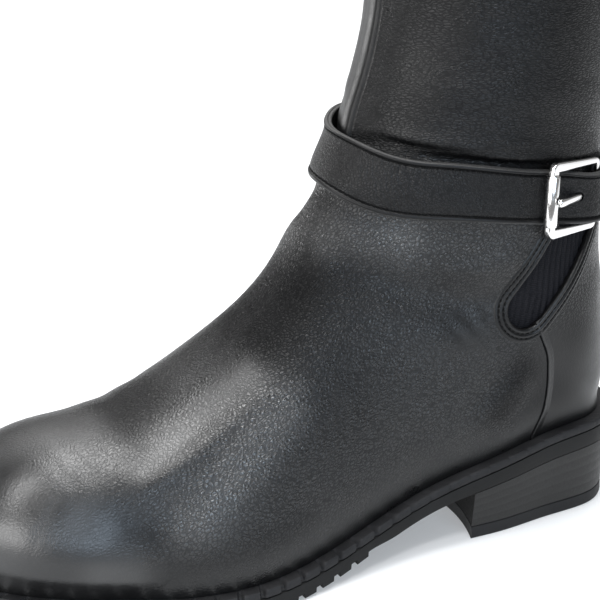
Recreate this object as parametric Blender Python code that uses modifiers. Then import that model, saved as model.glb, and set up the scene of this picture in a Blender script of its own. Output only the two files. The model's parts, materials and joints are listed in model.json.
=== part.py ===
"""Left motorcycle boot with ankle strap and roller buckle. Metres, +Z up, toe to -Y, outer side to +X."""
import math
from collections import namedtuple

import bmesh
import bpy
import numpy as np

# Driving sizes in millimetres; s runs from the back of the heel towards the toe
MM = 0.001
LAST_LENGTH = 267.0
BALL_WIDTH = 92.0
INSTEP_HEIGHT = 135.3
HEEL_HEIGHT = 37.5
SHAFT_HEIGHT = 247.0
ORIGIN_S = 131.0
GAP = 0.3
WALL = 2.0
FINE_STEP = 0.004
WELD = 0.00001
TINY = 1e-9

# Upper sections from toe to collar, in percent. Low and top end in side view: s of the last's length,
# z up to 100 of the heel or instep height and from there to 200 of the rest up to the collar.
# Half widths, and the widest line's distance from the top end: of the ball width. Crown: power of the arch.
Section = namedtuple(
    "Section",
    "name low_s low_z top_s top_z spine lean lat med foot_lat foot_med reach crown",
)
SECTIONS = (
    Section("tip", 100.0, 48.0, 100.0, 48.8, -8.7, -8.7, 40.2, 40.2, 38.0, 38.0, 35.0, 2.3),
    Section("toe", 83.1, 32.0, 83.1, 47.3, -5.4, -4.3, 45.1, 44.6, 42.9, 41.8, 37.7, 2.3),
    Section("ball_front", 73.0, 25.6, 73.0, 50.8, -2.2, -3.3, 50.5, 48.9, 48.4, 45.7, 45.0, 2.2),
    Section("ball", 62.9, 24.8, 62.9, 60.8, 0.0, -4.3, 52.2, 47.8, 49.5, 43.5, 58.6, 2.1),
    Section("waist", 50.6, 34.7, 52.4, 76.9, 0.0, -3.3, 46.2, 42.4, 42.6, 35.9, 73.3, 2.0),
    Section("instep", 35.6, 64.0, 48.4, 89.7, 0.0, -2.2, 39.1, 38.0, 35.0, 30.4, 83.2, 2.0),
    Section("heel_front", 22.5, 85.1, 46.8, 94.8, 0.0, -1.1, 38.0, 36.4, 35.0, 32.6, 92.9, 2.0),
    Section("heel_side", 10.5, 96.8, 45.8, 97.8, 0.0, 0.0, 37.6, 36.5, 31.5, 31.5, 101.1, 2.0),
    Section("heel_back", 0.0, 100.0, 45.0, 99.9, 0.0, 0.0, 37.8, 37.0, 30.4, 30.4, 104.3, 2.0),
    Section("heel_bulge", -0.9, 111.7, 44.4, 102.1, 0.0, 0.0, 38.6, 38.0, 0.0, 0.0, 95.1, 2.0),
    Section("ankle", 0.4, 127.0, 43.7, 105.2, 0.0, 0.0, 39.8, 39.3, 0.0, 0.0, 78.8, 2.0),
    Section("strap_low", 0.4, 135.1, 42.4, 110.6, 0.0, 0.0, 40.4, 40.2, 0.0, 0.0, 65.0, 2.0),
    Section("strap_high", 0.7, 145.1, 40.4, 118.5, 0.0, 0.0, 40.4, 40.4, 0.0, 0.0, 59.0, 2.0),
    Section("slouch", 0.4, 150.8, 39.2, 128.4, 0.0, 0.0, 44.1, 44.1, 0.0, 0.0, 57.6, 2.0),
    Section("leg", -0.9, 169.0, 35.4, 158.8, 0.0, 0.0, 46.1, 46.1, 0.0, 0.0, 53.8, 2.0),
    Section("collar", -3.7, 198.1, 35.6, 200.0, 0.0, 0.0, 48.4, 48.4, 0.0, 0.0, 57.1, 2.0),
)
COLUMN = {name: k for k, name in enumerate(Section._fields[1:])}
ROW = {section.name: k for k, section in enumerate(SECTIONS)}
TOE_CAP = 48.0
TOE_ROUND = 2.25
HEEL_CAP = 34.0
HEEL_ROUND = 2.0
JOINT_ROW = ROW["strap_low"] + 0.6
JOINT_GAP = 0.026
TURN_COUNT = (8, 9)
FOOT_COUNT = (7, 14, 5)
BACK_COUNT = 11
LEG_COUNT = 9
FEATHER_COUNT = (60, 160, 40)

# Sole stack
WELT_OUT = 5.0
WELT_IN = 3.0
WELT_THICK = 3.0
WELT_BLOCK = 8.6
WELT_NOTCH_SHARE = 0.32
WELT_NOTCH_DEEP = 1.7
WELT_NOTCH_SLOPE = 0.08
SOLE_THICK = 6.3
SOLE_WAIST_THIN = 1.6
WAIST_SPREAD = 34.0
LUG_DEEP = 1.8
LUG_PITCH = 8.0
LUG_SHARE = 0.62
LUG_FROM = 122.0
LUG_TO = 262.0
LUG_SLOPE = 0.25
LUG_FADE = 14.0
INSOLE_THICK = 3.6
BREAST_S = 74.0
BREAST_HOLLOW = 6.0
HEEL_TAPER = 3.2
LIFT_THICK = 5.0
LIFT_DRAFT = 0.3

# Elastic panel and its cut-out in the outer side: centre line in side view
GORE_THICK = 1.2
GORE_BACK = 0.15
GORE_TOP = (27.0, 118.0)
GORE_LOW = (51.0, 89.5)
GORE_WIDE_TOP = 10.5
GORE_WIDE_LOW = 8.2
GORE_BACK_RISE = 7.0
GORE_CUT_FROM = 12.0
GORE_CUT_TO = 60.0

# Elastic behind the cut-out: row position on the upper, middle and half width as angles round the section
GorePatch = namedtuple("GorePatch", "row middle half")
GORE_PATCH = (
    GorePatch(7.55, 103.0, 13.0),
    GorePatch(8.2, 101.0, 17.6),
    GorePatch(9.0, 88.0, 23.0),
    GorePatch(10.0, 64.0, 23.0),
    GorePatch(11.35, 56.0, 23.0),
)
GORE_ROWS = 13
GORE_COLUMNS = 9

# Ankle strap and buckle; angles run round the ankle, 0 at the back, 90 outer side, 180 front
STRAP_WIDE = 21.0
STRAP_THICK = 2.8
STRAP_GAP = 0.75
STRAP_STAND = (0.6, 2.2)
STRAP_FRONT_SPREAD = 34.0
STRAP_START = 46.0
ROLLER_ANGLE = 81.0
HEEL_BAR_ANGLE = 52.0
STRAP_TAIL_ANGLE = 18.0
STRAP_TAIL_ROUND = 16.0
STRAP_TAIL_POWER = 2.4
STRAP_TAIL_STOP = 0.4
STRAP_RISE_FROM = 4.0
STRAP_RISE_TO = 3.0
STRAP_COUNT = (55, 18, 7)
STRAP_REACH = 4.0
STRAP_FINE = 101
ROLLER_RADIUS = 2.5
ROLLER_LENGTH = 19.2
ROLLER_BORE_PAST = 1.2
PIN_RADIUS = 1.3
BAR_WIDE = 3.2
BAR_THICK = 2.6
HEEL_BAR_LIFT = 3.7
FRAME_SPARE = 1.3
FRAME_ROUND = 0.5
HEEL_BAR_SHARE = 0.7
PRONG_RADIUS = 1.1
PRONG_HOLE_SHARE = 0.42
PRONG_BEND = 2.2

# Lower edge of the strap as row positions, at even steps round the ankle from back to back
STRAP_PATH = (11.45, 11.31, 11.00, 10.69, 10.15, 9.33, 9.55, 10.60, 11.15, 11.38, 11.50, 11.50, 11.45)
STRAP_PATH_STEP = 30.0


def clear_scene():
    for item in list(bpy.data.objects):
        bpy.data.objects.remove(item, do_unlink=True)


def make_collection(name):
    group = bpy.data.collections.new(name)
    bpy.context.scene.collection.children.link(group)
    return group


def make_material(name, colour, rough, metal=0.0):
    mat = bpy.data.materials.new(name)
    mat.use_nodes = True
    shader = mat.node_tree.nodes["Principled BSDF"]
    shader.inputs["Base Color"].default_value = (*colour, 1.0)
    shader.inputs["Roughness"].default_value = rough
    shader.inputs["Metallic"].default_value = metal
    return mat


# Section mathematics


def section_table():
    """Section rows in millimetres."""
    table = np.array([section[1:] for section in SECTIONS], float)
    for name in ("low_s", "top_s"):
        table[:, COLUMN[name]] *= LAST_LENGTH / 100.0
    for name, lower in (("low_z", HEEL_HEIGHT), ("top_z", INSTEP_HEIGHT)):
        column = table[:, COLUMN[name]]
        table[:, COLUMN[name]] = np.interp(column, (0.0, 100.0, 200.0), (0.0, lower, SHAFT_HEIGHT))
    for name in ("spine", "lean", "lat", "med", "foot_lat", "foot_med", "reach"):
        table[:, COLUMN[name]] *= BALL_WIDTH / 100.0
    return table


TABLE = section_table()


def natural_spline(values, place):
    """Smooth curve through equally spaced rows of values, read at the given row positions."""
    count = len(values)
    system = np.eye(count)
    inner = np.arange(1, count - 1)
    system[inner, inner] = 4.0
    system[inner, inner - 1] = 1.0
    system[inner, inner + 1] = 1.0
    bend = np.zeros_like(values)
    bend[1:-1] = 6.0 * (values[:-2] - 2.0 * values[1:-1] + values[2:])
    bend = np.linalg.solve(system, bend)
    low = np.clip(np.floor(place).astype(int), 0, count - 2)
    part = (place - low)[:, None]
    rest = 1.0 - part
    line = values[low] * rest + values[low + 1] * part
    return line + (rest ** 3 - rest) * bend[low] / 6.0 + (part ** 3 - part) * bend[low + 1] / 6.0


def round_end(part, power):
    """Share of full width at a part of the way into a rounded end."""
    part = np.clip(part, 0.0, 1.0)
    return (1.0 - part ** power) ** (1.0 / power)


def section_values(rows):
    """Table columns at any row positions, with the toe and the heel seat rounded off."""
    rows = np.atleast_1d(np.asarray(rows, float))
    value = natural_spline(TABLE, rows)
    corner = ROW["heel_back"]
    ends = [COLUMN["low_s"], COLUMN["low_z"]]
    under = natural_spline(TABLE[:corner + 1, ends], np.minimum(rows, corner))
    behind = natural_spline(TABLE[corner:, ends], np.maximum(rows, corner) - corner)
    value[:, ends] = np.where((rows <= corner)[:, None], under, behind)
    low_s = value[:, COLUMN["low_s"]]
    toe_part = (low_s - LAST_LENGTH + TOE_CAP) / TOE_CAP
    toe = round_end(toe_part, TOE_ROUND)
    heel = round_end((HEEL_CAP - low_s) / HEEL_CAP, HEEL_ROUND)
    heel = np.where(rows < ROW["heel_back"], heel, 0.0)
    for name in ("lat", "med", "foot_lat", "foot_med"):
        value[:, COLUMN[name]] *= toe
    for name in ("foot_lat", "foot_med"):
        value[:, COLUMN[name]] *= heel
    low_z = value[:, COLUMN["low_z"]]
    rise = value[:, COLUMN["top_z"]] - low_z
    length = np.hypot(value[:, COLUMN["top_s"]] - low_s, rise)
    value[:, COLUMN["top_z"]] = low_z + rise * toe
    value[:, COLUMN["reach"]] /= length
    return value


def leather_sheet(rows, turn):
    """Outer face of the upper. turn: 0 outer low edge or back seam, pi top or front, 2 pi inner low edge."""
    value = section_values(rows)

    def column(name):
        return value[:, COLUMN[name]][:, None]

    turn = np.atleast_1d(turn)[None, :]
    turn = np.where((turn < 0.0) | (turn > 2.0 * math.pi), turn % (2.0 * math.pi), turn)
    outer = turn <= math.pi
    angle = np.where(outer, turn, 2.0 * math.pi - turn)
    wide = np.where(outer, column("lat"), column("med"))
    foot = np.where(outer, column("foot_lat"), column("foot_med"))
    low = angle <= math.pi / 2.0
    quarter = np.where(low, angle, angle - math.pi / 2.0)
    rise = np.clip(np.sin(quarter), 0.0, 1.0)
    fall = np.clip(np.cos(quarter), 0.0, 1.0)
    power = 2.0 / column("crown")
    widest = 1.0 - column("reach")
    bellied = np.sqrt(np.maximum(wide ** 2 - fall ** 2 * (wide ** 2 - foot ** 2), 0.0))
    across = np.where(low, bellied, wide * fall ** power)
    height = np.where(low, widest * (1.0 - fall), widest + (1.0 - widest) * rise ** power)
    middle = column("spine") + (column("lean") - column("spine")) * height
    x = middle + across * np.where(outer, 1.0, -1.0)
    s = column("low_s") + (column("top_s") - column("low_s")) * height
    z = column("low_z") + (column("top_z") - column("low_z")) * height
    return np.stack([x, ORIGIN_S - s, z], axis=-1)


def lifted_sheet(rows, turn, lift):
    """The upper's face moved along its outward normal by lift."""
    rows = np.atleast_1d(np.asarray(rows, float))
    turn = np.atleast_1d(np.asarray(turn, float))
    along = leather_sheet(rows + FINE_STEP, turn) - leather_sheet(rows - FINE_STEP, turn)
    around = leather_sheet(rows, turn + FINE_STEP) - leather_sheet(rows, turn - FINE_STEP)
    normal = np.cross(along, around)
    normal /= np.maximum(np.linalg.norm(normal, axis=-1, keepdims=True), TINY)
    return leather_sheet(rows, turn) + normal * np.asarray(lift)[..., None]


def eased(start, stop, count):
    """Row positions from start to stop, closing up towards stop."""
    return start + (stop - start) * np.sin(np.linspace(0.0, math.pi / 2.0, count))


def foot_rows(toe_count, mid_count, heel_count):
    toe = eased(ROW["toe"], ROW["tip"], toe_count)[::-1]
    middle = np.linspace(ROW["toe"], ROW["heel_side"], mid_count)[1:]
    heel = eased(ROW["heel_side"], ROW["heel_back"], heel_count)[1:]
    return np.concatenate([toe, middle, heel])


def turn_steps(low_count, high_count):
    low = np.linspace(0.0, math.pi / 2.0, low_count)
    high = np.linspace(math.pi / 2.0, math.pi, high_count)[1:]
    half = np.concatenate([low, high])
    return np.concatenate([half, 2.0 * math.pi - half[-2:0:-1], [2.0 * math.pi]])


# Sole mathematics


def feather_line():
    """Plan points of the upper's lower edge, tip to heel: (outer, inner) arrays of x and s, and z by s."""
    rows = foot_rows(*FEATHER_COUNT)
    value = section_values(rows)
    spine = value[:, COLUMN["spine"]]
    low_s = value[:, COLUMN["low_s"]]
    outer = np.stack([spine + value[:, COLUMN["foot_lat"]], low_s], axis=-1)
    inner = np.stack([spine - value[:, COLUMN["foot_med"]], low_s], axis=-1)
    return outer, inner, np.stack([low_s, value[:, COLUMN["low_z"]]], axis=-1)


def grown_outline(grow):
    """Feather line pushed out in plan by grow, as (outer, inner) arrays from tip to heel."""
    outer, inner, _ = feather_line()
    loop = np.concatenate([outer, inner[-2:0:-1]])
    ahead = np.roll(loop, -1, axis=0) - np.roll(loop, 1, axis=0)
    normal = np.stack([-ahead[:, 1], ahead[:, 0]], axis=-1)
    normal /= np.linalg.norm(normal, axis=1, keepdims=True)
    loop = loop + grow * normal
    count = len(outer)
    return loop[:count], np.concatenate([loop[:1], loop[:count - 2:-1]])


def feather_z(s):
    _, _, profile = feather_line()
    return np.interp(s, profile[::-1, 0], profile[::-1, 1])


def sole_top(s):
    return feather_z(s) - WELT_THICK - 2.0 * GAP


def sole_floor(s):
    """Underside of the outsole: flat under the ball, arched at the waist, sprung at the toe."""
    waist = TABLE[ROW["instep"], COLUMN["low_s"]]
    arch = np.exp(-((s - waist) / WAIST_SPREAD) ** 2)
    thick = SOLE_THICK - SOLE_WAIST_THIN * arch
    return np.maximum(sole_top(s) - thick, 0.0)


def outline_at(outline, s):
    outer, inner = outline
    return (
        np.interp(s, outer[::-1, 1], outer[::-1, 0]),
        np.interp(s, inner[::-1, 1], inner[::-1, 0]),
    )


# Mesh building


def mesh_object(name, points, faces, material, group):
    """Object from points in millimetres; coincident points are welded, outside faces out."""
    mesh = bpy.data.meshes.new(name)
    work = bmesh.new()
    corners = [work.verts.new(np.asarray(point) * MM) for point in points]
    for face in faces:
        work.faces.new([corners[k] for k in face])
    bmesh.ops.remove_doubles(work, verts=work.verts, dist=WELD)
    bmesh.ops.dissolve_degenerate(work, edges=work.edges, dist=WELD)
    bmesh.ops.recalc_face_normals(work, faces=work.faces)
    work.to_mesh(mesh)
    work.free()
    mesh.materials.append(material)
    item = bpy.data.objects.new(name, mesh)
    group.objects.link(item)
    return item


def grid_faces(rows, columns, start=0):
    faces = []
    for i in range(rows - 1):
        for j in range(columns - 1):
            a = start + i * columns + j
            faces.append((a, a + 1, a + columns + 1, a + columns))
    return faces


def shell_faces(rows, columns):
    """Two grids of the same size, one behind the other, closed along all four sides."""
    half = rows * columns
    faces = grid_faces(rows, columns) + grid_faces(rows, columns, half)
    rim = [j for j in range(columns)]
    rim += [i * columns + columns - 1 for i in range(1, rows)]
    rim += [(rows - 1) * columns + j for j in range(columns - 2, -1, -1)]
    rim += [i * columns for i in range(rows - 2, 0, -1)]
    for k, a in enumerate(rim):
        b = rim[(k + 1) % len(rim)]
        faces.append((a, b, b + half, a + half))
    return faces


def shell_object(name, front, back, material, group):
    rows, columns = front.shape[:2]
    points = np.concatenate([front.reshape(-1, 3), back.reshape(-1, 3)])
    return mesh_object(name, points, shell_faces(rows, columns), material, group)


def inner_sheet(rows, turn):
    """Inner face of the leather; along the open feather edge it stands level with the outer edge."""
    outer = leather_sheet(rows, turn)
    inner = lifted_sheet(rows, turn, np.full(outer.shape[:2], -WALL))
    is_open = rows <= ROW["heel_back"]
    fine = foot_rows(*FEATHER_COUNT)
    for column, side in zip((0, -1), grown_outline(-WALL)):
        inner[is_open, column, 0] = np.interp(rows[is_open], fine, side[:, 0])
        inner[is_open, column, 1] = ORIGIN_S - np.interp(rows[is_open], fine, side[:, 1])
        inner[is_open, column, 2] = outer[is_open, column, 2]
    if rows[0] == ROW["tip"]:
        inner[0] = inner[0, 0]
    return outer, inner


def hollow_object(name, rows, turn, material, group):
    """Leather form with a real wall: open along the feather edge and at both ends, back seam welded."""
    outer, inner = inner_sheet(rows, turn)
    count, columns = outer.shape[:2]
    half = count * columns
    faces = grid_faces(count, columns) + grid_faces(count, columns, half)
    last = (count - 1) * columns
    for j in range(columns - 1):
        faces.append((last + j, last + j + 1, half + last + j + 1, half + last + j))
        if rows[0] > ROW["tip"]:
            faces.append((j, j + 1, half + j + 1, half + j))
    for i in range(int(np.sum(rows <= ROW["heel_back"])) - 1):
        for j in (0, columns - 1):
            a, b = i * columns + j, (i + 1) * columns + j
            faces.append((a, b, half + b, half + a))
    points = np.concatenate([outer.reshape(-1, 3), inner.reshape(-1, 3)])
    return mesh_object(name, points, faces, material, group)


def plate_points(outline, stations, columns, level):
    """Grid of points across a sole outline at the given stations, heights from level(s)."""
    outer, inner = outline_at(outline, stations)
    share = np.linspace(0.0, 1.0, columns)[None, :]
    x = outer[:, None] * (1.0 - share) + inner[:, None] * share
    s = np.repeat(stations[:, None], columns, axis=1)
    return np.stack([x, ORIGIN_S - s, np.repeat(level(stations)[:, None], columns, axis=1)], axis=-1)


def station_ends(outline):
    outer, _ = outline
    return outer[0, 1], outer[-1, 1]


def plain_stations(outline, end_count, mid_count):
    front, back = station_ends(outline)
    near_front, near_back = front - TOE_CAP, back + HEEL_CAP
    toe = eased(near_front, front, end_count)[::-1]
    middle = np.linspace(near_front, near_back, mid_count)[1:]
    heel = eased(near_back, back, end_count)[1:]
    return np.concatenate([toe, middle, heel])


# Leather parts


def gore_outline(spread, count=28):
    """Tongue shape in side view, widened all round by spread: points of s and z."""
    top, low = np.array(GORE_TOP), np.array(GORE_LOW)
    axis = (low - top) / np.linalg.norm(low - top)
    side = np.array([-axis[1], axis[0]])
    wide_top, wide_low = GORE_WIDE_TOP + spread, GORE_WIDE_LOW + spread
    points = []
    for k in range(count):
        angle = math.pi * k / (count - 1)
        points.append(low + wide_low * (math.sin(angle) * axis + math.cos(angle) * side))
    points.append(top - wide_top * side - GORE_BACK_RISE * axis)
    points.append(top + wide_top * side)
    return np.array(points)


def build_upper(material, group, cutters):
    back_rows = np.linspace(ROW["heel_back"], JOINT_ROW, BACK_COUNT)[1:]
    rows = np.concatenate([foot_rows(*FOOT_COUNT), back_rows])
    upper = hollow_object("upper", rows, turn_steps(*TURN_COUNT), material, group)
    outline = gore_outline(0.0)
    count = len(outline)
    points = [(x, ORIGIN_S - s, z) for x in (GORE_CUT_FROM, GORE_CUT_TO) for s, z in outline]
    faces = [tuple(range(count)), tuple(range(2 * count - 1, count - 1, -1))]
    faces += [(k, (k + 1) % count, (k + 1) % count + count, k + count) for k in range(count)]
    cutter = mesh_object("gore_cutter", points, faces, material, cutters)
    cutter.hide_render = True
    cutter.display_type = "WIRE"
    cut = upper.modifiers.new("gore cut-out", "BOOLEAN")
    cut.operation = "DIFFERENCE"
    cut.solver = "EXACT"
    cut.object = cutter


def build_shaft(material, group):
    rows = np.linspace(JOINT_ROW + JOINT_GAP, ROW["collar"], LEG_COUNT)
    hollow_object("shaft", rows, turn_steps(*TURN_COUNT), material, group)


def gore_sheet(lift):
    """Patch of the upper's own face behind the cut-out, from under the strap to below the tongue."""
    patch = np.array(GORE_PATCH)
    rows = np.linspace(patch[0, 0], patch[-1, 0], GORE_ROWS)
    middle = np.interp(rows, patch[:, 0], patch[:, 1])
    spread = np.interp(rows, patch[:, 0], patch[:, 2])
    share = np.linspace(-1.0, 1.0, GORE_COLUMNS)
    points = []
    for row, centre, half in zip(rows, middle, spread):
        turn = np.radians(centre + half * share)
        points.append(lifted_sheet(row, turn, np.full((1, len(turn)), lift))[0])
    return np.array(points)


def build_gore(material, group):
    front = -(WALL + GAP + GORE_BACK)
    shell_object("gore", gore_sheet(front), gore_sheet(front - GORE_THICK), material, group)


# Strap and buckle


def smooth_step(low, high, value):
    part = np.clip((value - low) / (high - low), 0.0, 1.0)
    return part * part * (3.0 - 2.0 * part)


def strap_lift(angle, share):
    """Height of the strap's inner face over the leather along its way round the ankle."""
    front = np.exp(-((angle + 180.0) / STRAP_FRONT_SPREAD) ** 2)
    stand = STRAP_STAND[0] + (STRAP_STAND[1] - STRAP_STAND[0]) * share
    rise_from = 360.0 - ROLLER_ANGLE + STRAP_RISE_FROM
    rise_to = 360.0 - HEEL_BAR_ANGLE - STRAP_RISE_TO
    tail = smooth_step(rise_from, rise_to, -angle)
    over = HEEL_BAR_LIFT + BAR_THICK / 2.0 + GAP
    return STRAP_GAP + stand * front + (over - STRAP_GAP) * tail


def strap_row(angle, share):
    """Row position across the strap at an angle: share 0 lower edge, 1 upper edge."""
    place = np.array([(angle % 360.0) / STRAP_PATH_STEP])
    low = natural_spline(np.array(STRAP_PATH)[:, None], place)[0, 0]
    rows = np.linspace(low, low + STRAP_REACH, STRAP_FINE)
    line = leather_sheet(rows, math.radians(angle))[:, 0]
    length = np.concatenate([[0.0], np.cumsum(np.linalg.norm(np.diff(line, axis=0), axis=1))])
    return np.interp(share * STRAP_WIDE, length, rows)


def strap_shares(angle):
    """Lower edge, middle and upper edge of the strap; the tail end is rounded."""
    past = (-angle - (360.0 - STRAP_TAIL_ANGLE - STRAP_TAIL_ROUND)) / STRAP_TAIL_ROUND
    half = 0.5 * round_end(past, STRAP_TAIL_POWER)
    return 0.5 - half, 0.5, 0.5 + half


def strap_section(angle):
    """Corners of the strap at an angle: up its inner face, then down its outer face."""
    shares = strap_shares(angle)
    corners = [strap_point(angle, share, strap_lift(angle, share)) for share in shares]
    corners += [strap_point(angle, share, strap_lift(angle, share) + STRAP_THICK) for share in shares[::-1]]
    return np.array(corners)


def strap_angles():
    tail_from = -(360.0 - STRAP_TAIL_ANGLE - STRAP_TAIL_ROUND)
    tail_to = -(360.0 - STRAP_TAIL_ANGLE - STRAP_TAIL_STOP)
    round_count, buckle_count, end_count = STRAP_COUNT
    round_part = np.linspace(STRAP_START, -270.0, round_count)
    buckle_part = np.linspace(-270.0, tail_from, buckle_count)[1:]
    end_part = eased(tail_from, tail_to, end_count)[1:]
    return np.concatenate([round_part, buckle_part, end_part])


def build_strap(material, group, cutters):
    angles = strap_angles()
    sections = [strap_section(angle) for angle in angles]
    count, ring = len(sections), len(sections[0])
    points = np.concatenate(sections)
    faces = [tuple(range(ring)), tuple(range(count * ring - 1, (count - 1) * ring - 1, -1))]
    for i in range(count - 1):
        for k in range(ring):
            a, b = ring * i + k, ring * i + (k + 1) % ring
            faces.append((a, b, b + ring, a + ring))
    strap = mesh_object("ankle_strap", points, faces, material, group)
    slot = prong_solid("prong_slot", PRONG_RADIUS + GAP, material, cutters)
    slot.hide_render = True
    slot.display_type = "WIRE"
    cut = strap.modifiers.new("prong hole", "BOOLEAN")
    cut.operation = "DIFFERENCE"
    cut.solver = "EXACT"
    cut.object = slot


def strap_point(angle, share, lift):
    """Point over the strap's path: share 0 lower edge, 1 upper edge."""
    return lifted_sheet(strap_row(angle, share), math.radians(angle), np.array([[lift]]))[0, 0]


def buckle_axes():
    """Roller centre, heel bar centre and unit directions: back along the strap, up across it, outward."""
    roller_lift = STRAP_GAP + STRAP_THICK + 2.0 * GAP + ROLLER_RADIUS
    front_low = strap_point(ROLLER_ANGLE, 0.0, roller_lift)
    front_high = strap_point(ROLLER_ANGLE, 1.0, roller_lift)
    rear = strap_point(HEEL_BAR_ANGLE, 0.5, HEEL_BAR_LIFT)
    roller = (front_low + front_high) / 2.0
    back = rear - roller
    length = np.linalg.norm(back)
    back = back / length
    up = front_high - front_low
    width = np.linalg.norm(up)
    up = up - back * np.dot(up, back)
    up = up / np.linalg.norm(up)
    return roller, back, up, np.cross(back, up), length, width


def rod_between(name, start, end, radius, material, group, sides=20):
    """Plain round bar between two points."""
    start, end = np.asarray(start), np.asarray(end)
    axis = end - start
    axis = axis / np.linalg.norm(axis)
    helper = np.array([0.0, 0.0, 1.0]) if abs(axis[2]) < 0.9 else np.array([1.0, 0.0, 0.0])
    first = np.cross(axis, helper)
    first /= np.linalg.norm(first)
    second = np.cross(axis, first)
    points = []
    for end_point in (start, end):
        for k in range(sides):
            angle = 2.0 * math.pi * k / sides
            points.append(end_point + radius * (math.cos(angle) * first + math.sin(angle) * second))
    faces = [tuple(range(sides)), tuple(range(2 * sides - 1, sides - 1, -1))]
    faces += [(k, (k + 1) % sides, (k + 1) % sides + sides, k + sides) for k in range(sides)]
    return mesh_object(name, points, faces, material, group)


def frame_bar(corner_from, corner_to, wide, thick, across, out):
    """Eight corners of a straight flat bar."""
    points = []
    for end in (corner_from, corner_to):
        for a, b in ((-1, -1), (1, -1), (1, 1), (-1, 1)):
            points.append(end + across * (a * wide / 2.0) + out * (b * thick / 2.0))
    return points


BOX_FACES = ((0, 3, 2, 1), (4, 5, 6, 7), (0, 1, 5, 4), (1, 2, 6, 5), (2, 3, 7, 6), (3, 0, 4, 7))


def add_union(item, tool):
    join = item.modifiers.new("join " + tool.name, "BOOLEAN")
    join.operation = "UNION"
    join.solver = "EXACT"
    join.object = tool
    tool.hide_render = True
    tool.display_type = "WIRE"


def build_buckle(material, group, cutters):
    roller, back, up, out, length, width = buckle_axes()
    half = width / 2.0 + FRAME_SPARE + BAR_WIDE / 2.0
    front_reach = BAR_WIDE / 2.0
    bars = []
    for name, side in (("low_bar", -1.0), ("high_bar", 1.0)):
        start = roller + up * (side * half) - back * front_reach
        end = roller + up * (side * half) + back * (length + BAR_WIDE / 2.0)
        bars.append((name, frame_bar(start, end, BAR_WIDE, BAR_THICK, up, out)))
    reach = up * (half - BAR_WIDE / 2.0 + FRAME_ROUND)
    rear = roller + back * length
    wide, thick = BAR_WIDE * HEEL_BAR_SHARE, BAR_THICK * HEEL_BAR_SHARE
    bars.append(("heel_bar", frame_bar(rear - reach, rear + reach, wide, thick, back, out)))
    frame = mesh_object("buckle_frame", bars[0][1], BOX_FACES, material, group)
    for name, points in bars[1:]:
        add_union(frame, mesh_object(name, points, BOX_FACES, material, cutters))
    pin = rod_between("pin", roller - reach, roller + reach, PIN_RADIUS, material, cutters)
    add_union(frame, pin)
    soft = frame.modifiers.new("soft edges", "BEVEL")
    soft.width = FRAME_ROUND * MM
    soft.segments = 1
    soft.limit_method = "ANGLE"
    build_roller(roller, up, material, group, cutters)


def build_roller(centre, up, material, group, cutters):
    end = up * (ROLLER_LENGTH / 2.0)
    tube = rod_between("buckle_roller", centre - end, centre + end, ROLLER_RADIUS, material, group, 28)
    past = end * ROLLER_BORE_PAST
    bore = rod_between("roller_bore", centre - past, centre + past, PIN_RADIUS + GAP, material, cutters)
    bore.hide_render = True
    bore.display_type = "WIRE"
    cut = tube.modifiers.new("bore", "BOOLEAN")
    cut.operation = "DIFFERENCE"
    cut.solver = "EXACT"
    cut.object = bore


def prong_path():
    """Middle line of the prong: from beside the heel bar, through the strap, to the top of the roller."""
    roller, back, _, out, length, _ = buckle_axes()
    rear = roller + back * (length - BAR_WIDE * HEEL_BAR_SHARE / 2.0 - GAP - PRONG_RADIUS)
    hole = roller + back * (length * PRONG_HOLE_SHARE) + out * (ROLLER_RADIUS - GAP)
    rest = roller + out * (ROLLER_RADIUS + GAP + PRONG_RADIUS)
    tip = rest - back * (ROLLER_RADIUS / 2.0)
    return np.array([rear, hole, rest + back * PRONG_BEND, tip])


def prong_solid(name, radius, material, group, sides=12, steps=13):
    """Round bar swept along a smooth curve through the prong path."""
    path = prong_path()
    place = np.linspace(0.0, len(path) - 1.0, steps)
    line = natural_spline(path, place)
    _, _, up, _, _, _ = buckle_axes()
    ahead = np.gradient(line, axis=0)
    ahead /= np.linalg.norm(ahead, axis=1, keepdims=True)
    side = np.cross(ahead, up)
    points = []
    for middle, first in zip(line, side):
        for k in range(sides):
            angle = 2.0 * math.pi * k / sides
            points.append(middle + radius * (math.cos(angle) * first + math.sin(angle) * up))
    faces = [tuple(range(sides)), tuple(range(sides * steps - 1, sides * (steps - 1) - 1, -1))]
    for i in range(steps - 1):
        for k in range(sides):
            a, b = i * sides + k, i * sides + (k + 1) % sides
            faces.append((a, b, b + sides, a + sides))
    return mesh_object(name, points, faces, material, group)


# Sole parts


def build_insole(material, group):
    outline = grown_outline(-WELT_IN - GAP)
    stations = plain_stations(outline, 7, 15)
    top = plate_points(outline, stations, 5, lambda s: sole_top(s) + GAP + INSOLE_THICK)
    low = plate_points(outline, stations, 5, lambda s: sole_top(s) + GAP)
    shell_object("insole", top, low, material, group)


def welt_loop(grow, count):
    """Closed loop of plan points at even arc lengths round the sole, and its length."""
    outer, inner = grown_outline(grow)
    loop = np.concatenate([outer, inner[-2:0:-1], outer[:1]])
    length = np.concatenate([[0.0], np.cumsum(np.linalg.norm(np.diff(loop, axis=0), axis=1))])
    place = np.linspace(0.0, length[-1], count + 1)
    x = np.interp(place, length, loop[:, 0])
    s = np.interp(place, length, loop[:, 1])
    return np.stack([x, s], axis=-1), length[-1]


def plan_at(grow, places, fine=1200):
    """Plan points at shares of the way round the sole."""
    loop, _ = welt_loop(grow, fine)
    index = np.arange(fine + 1) / fine
    return np.stack([np.interp(places, index, loop[:, k]) for k in (0, 1)], axis=-1)


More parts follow.
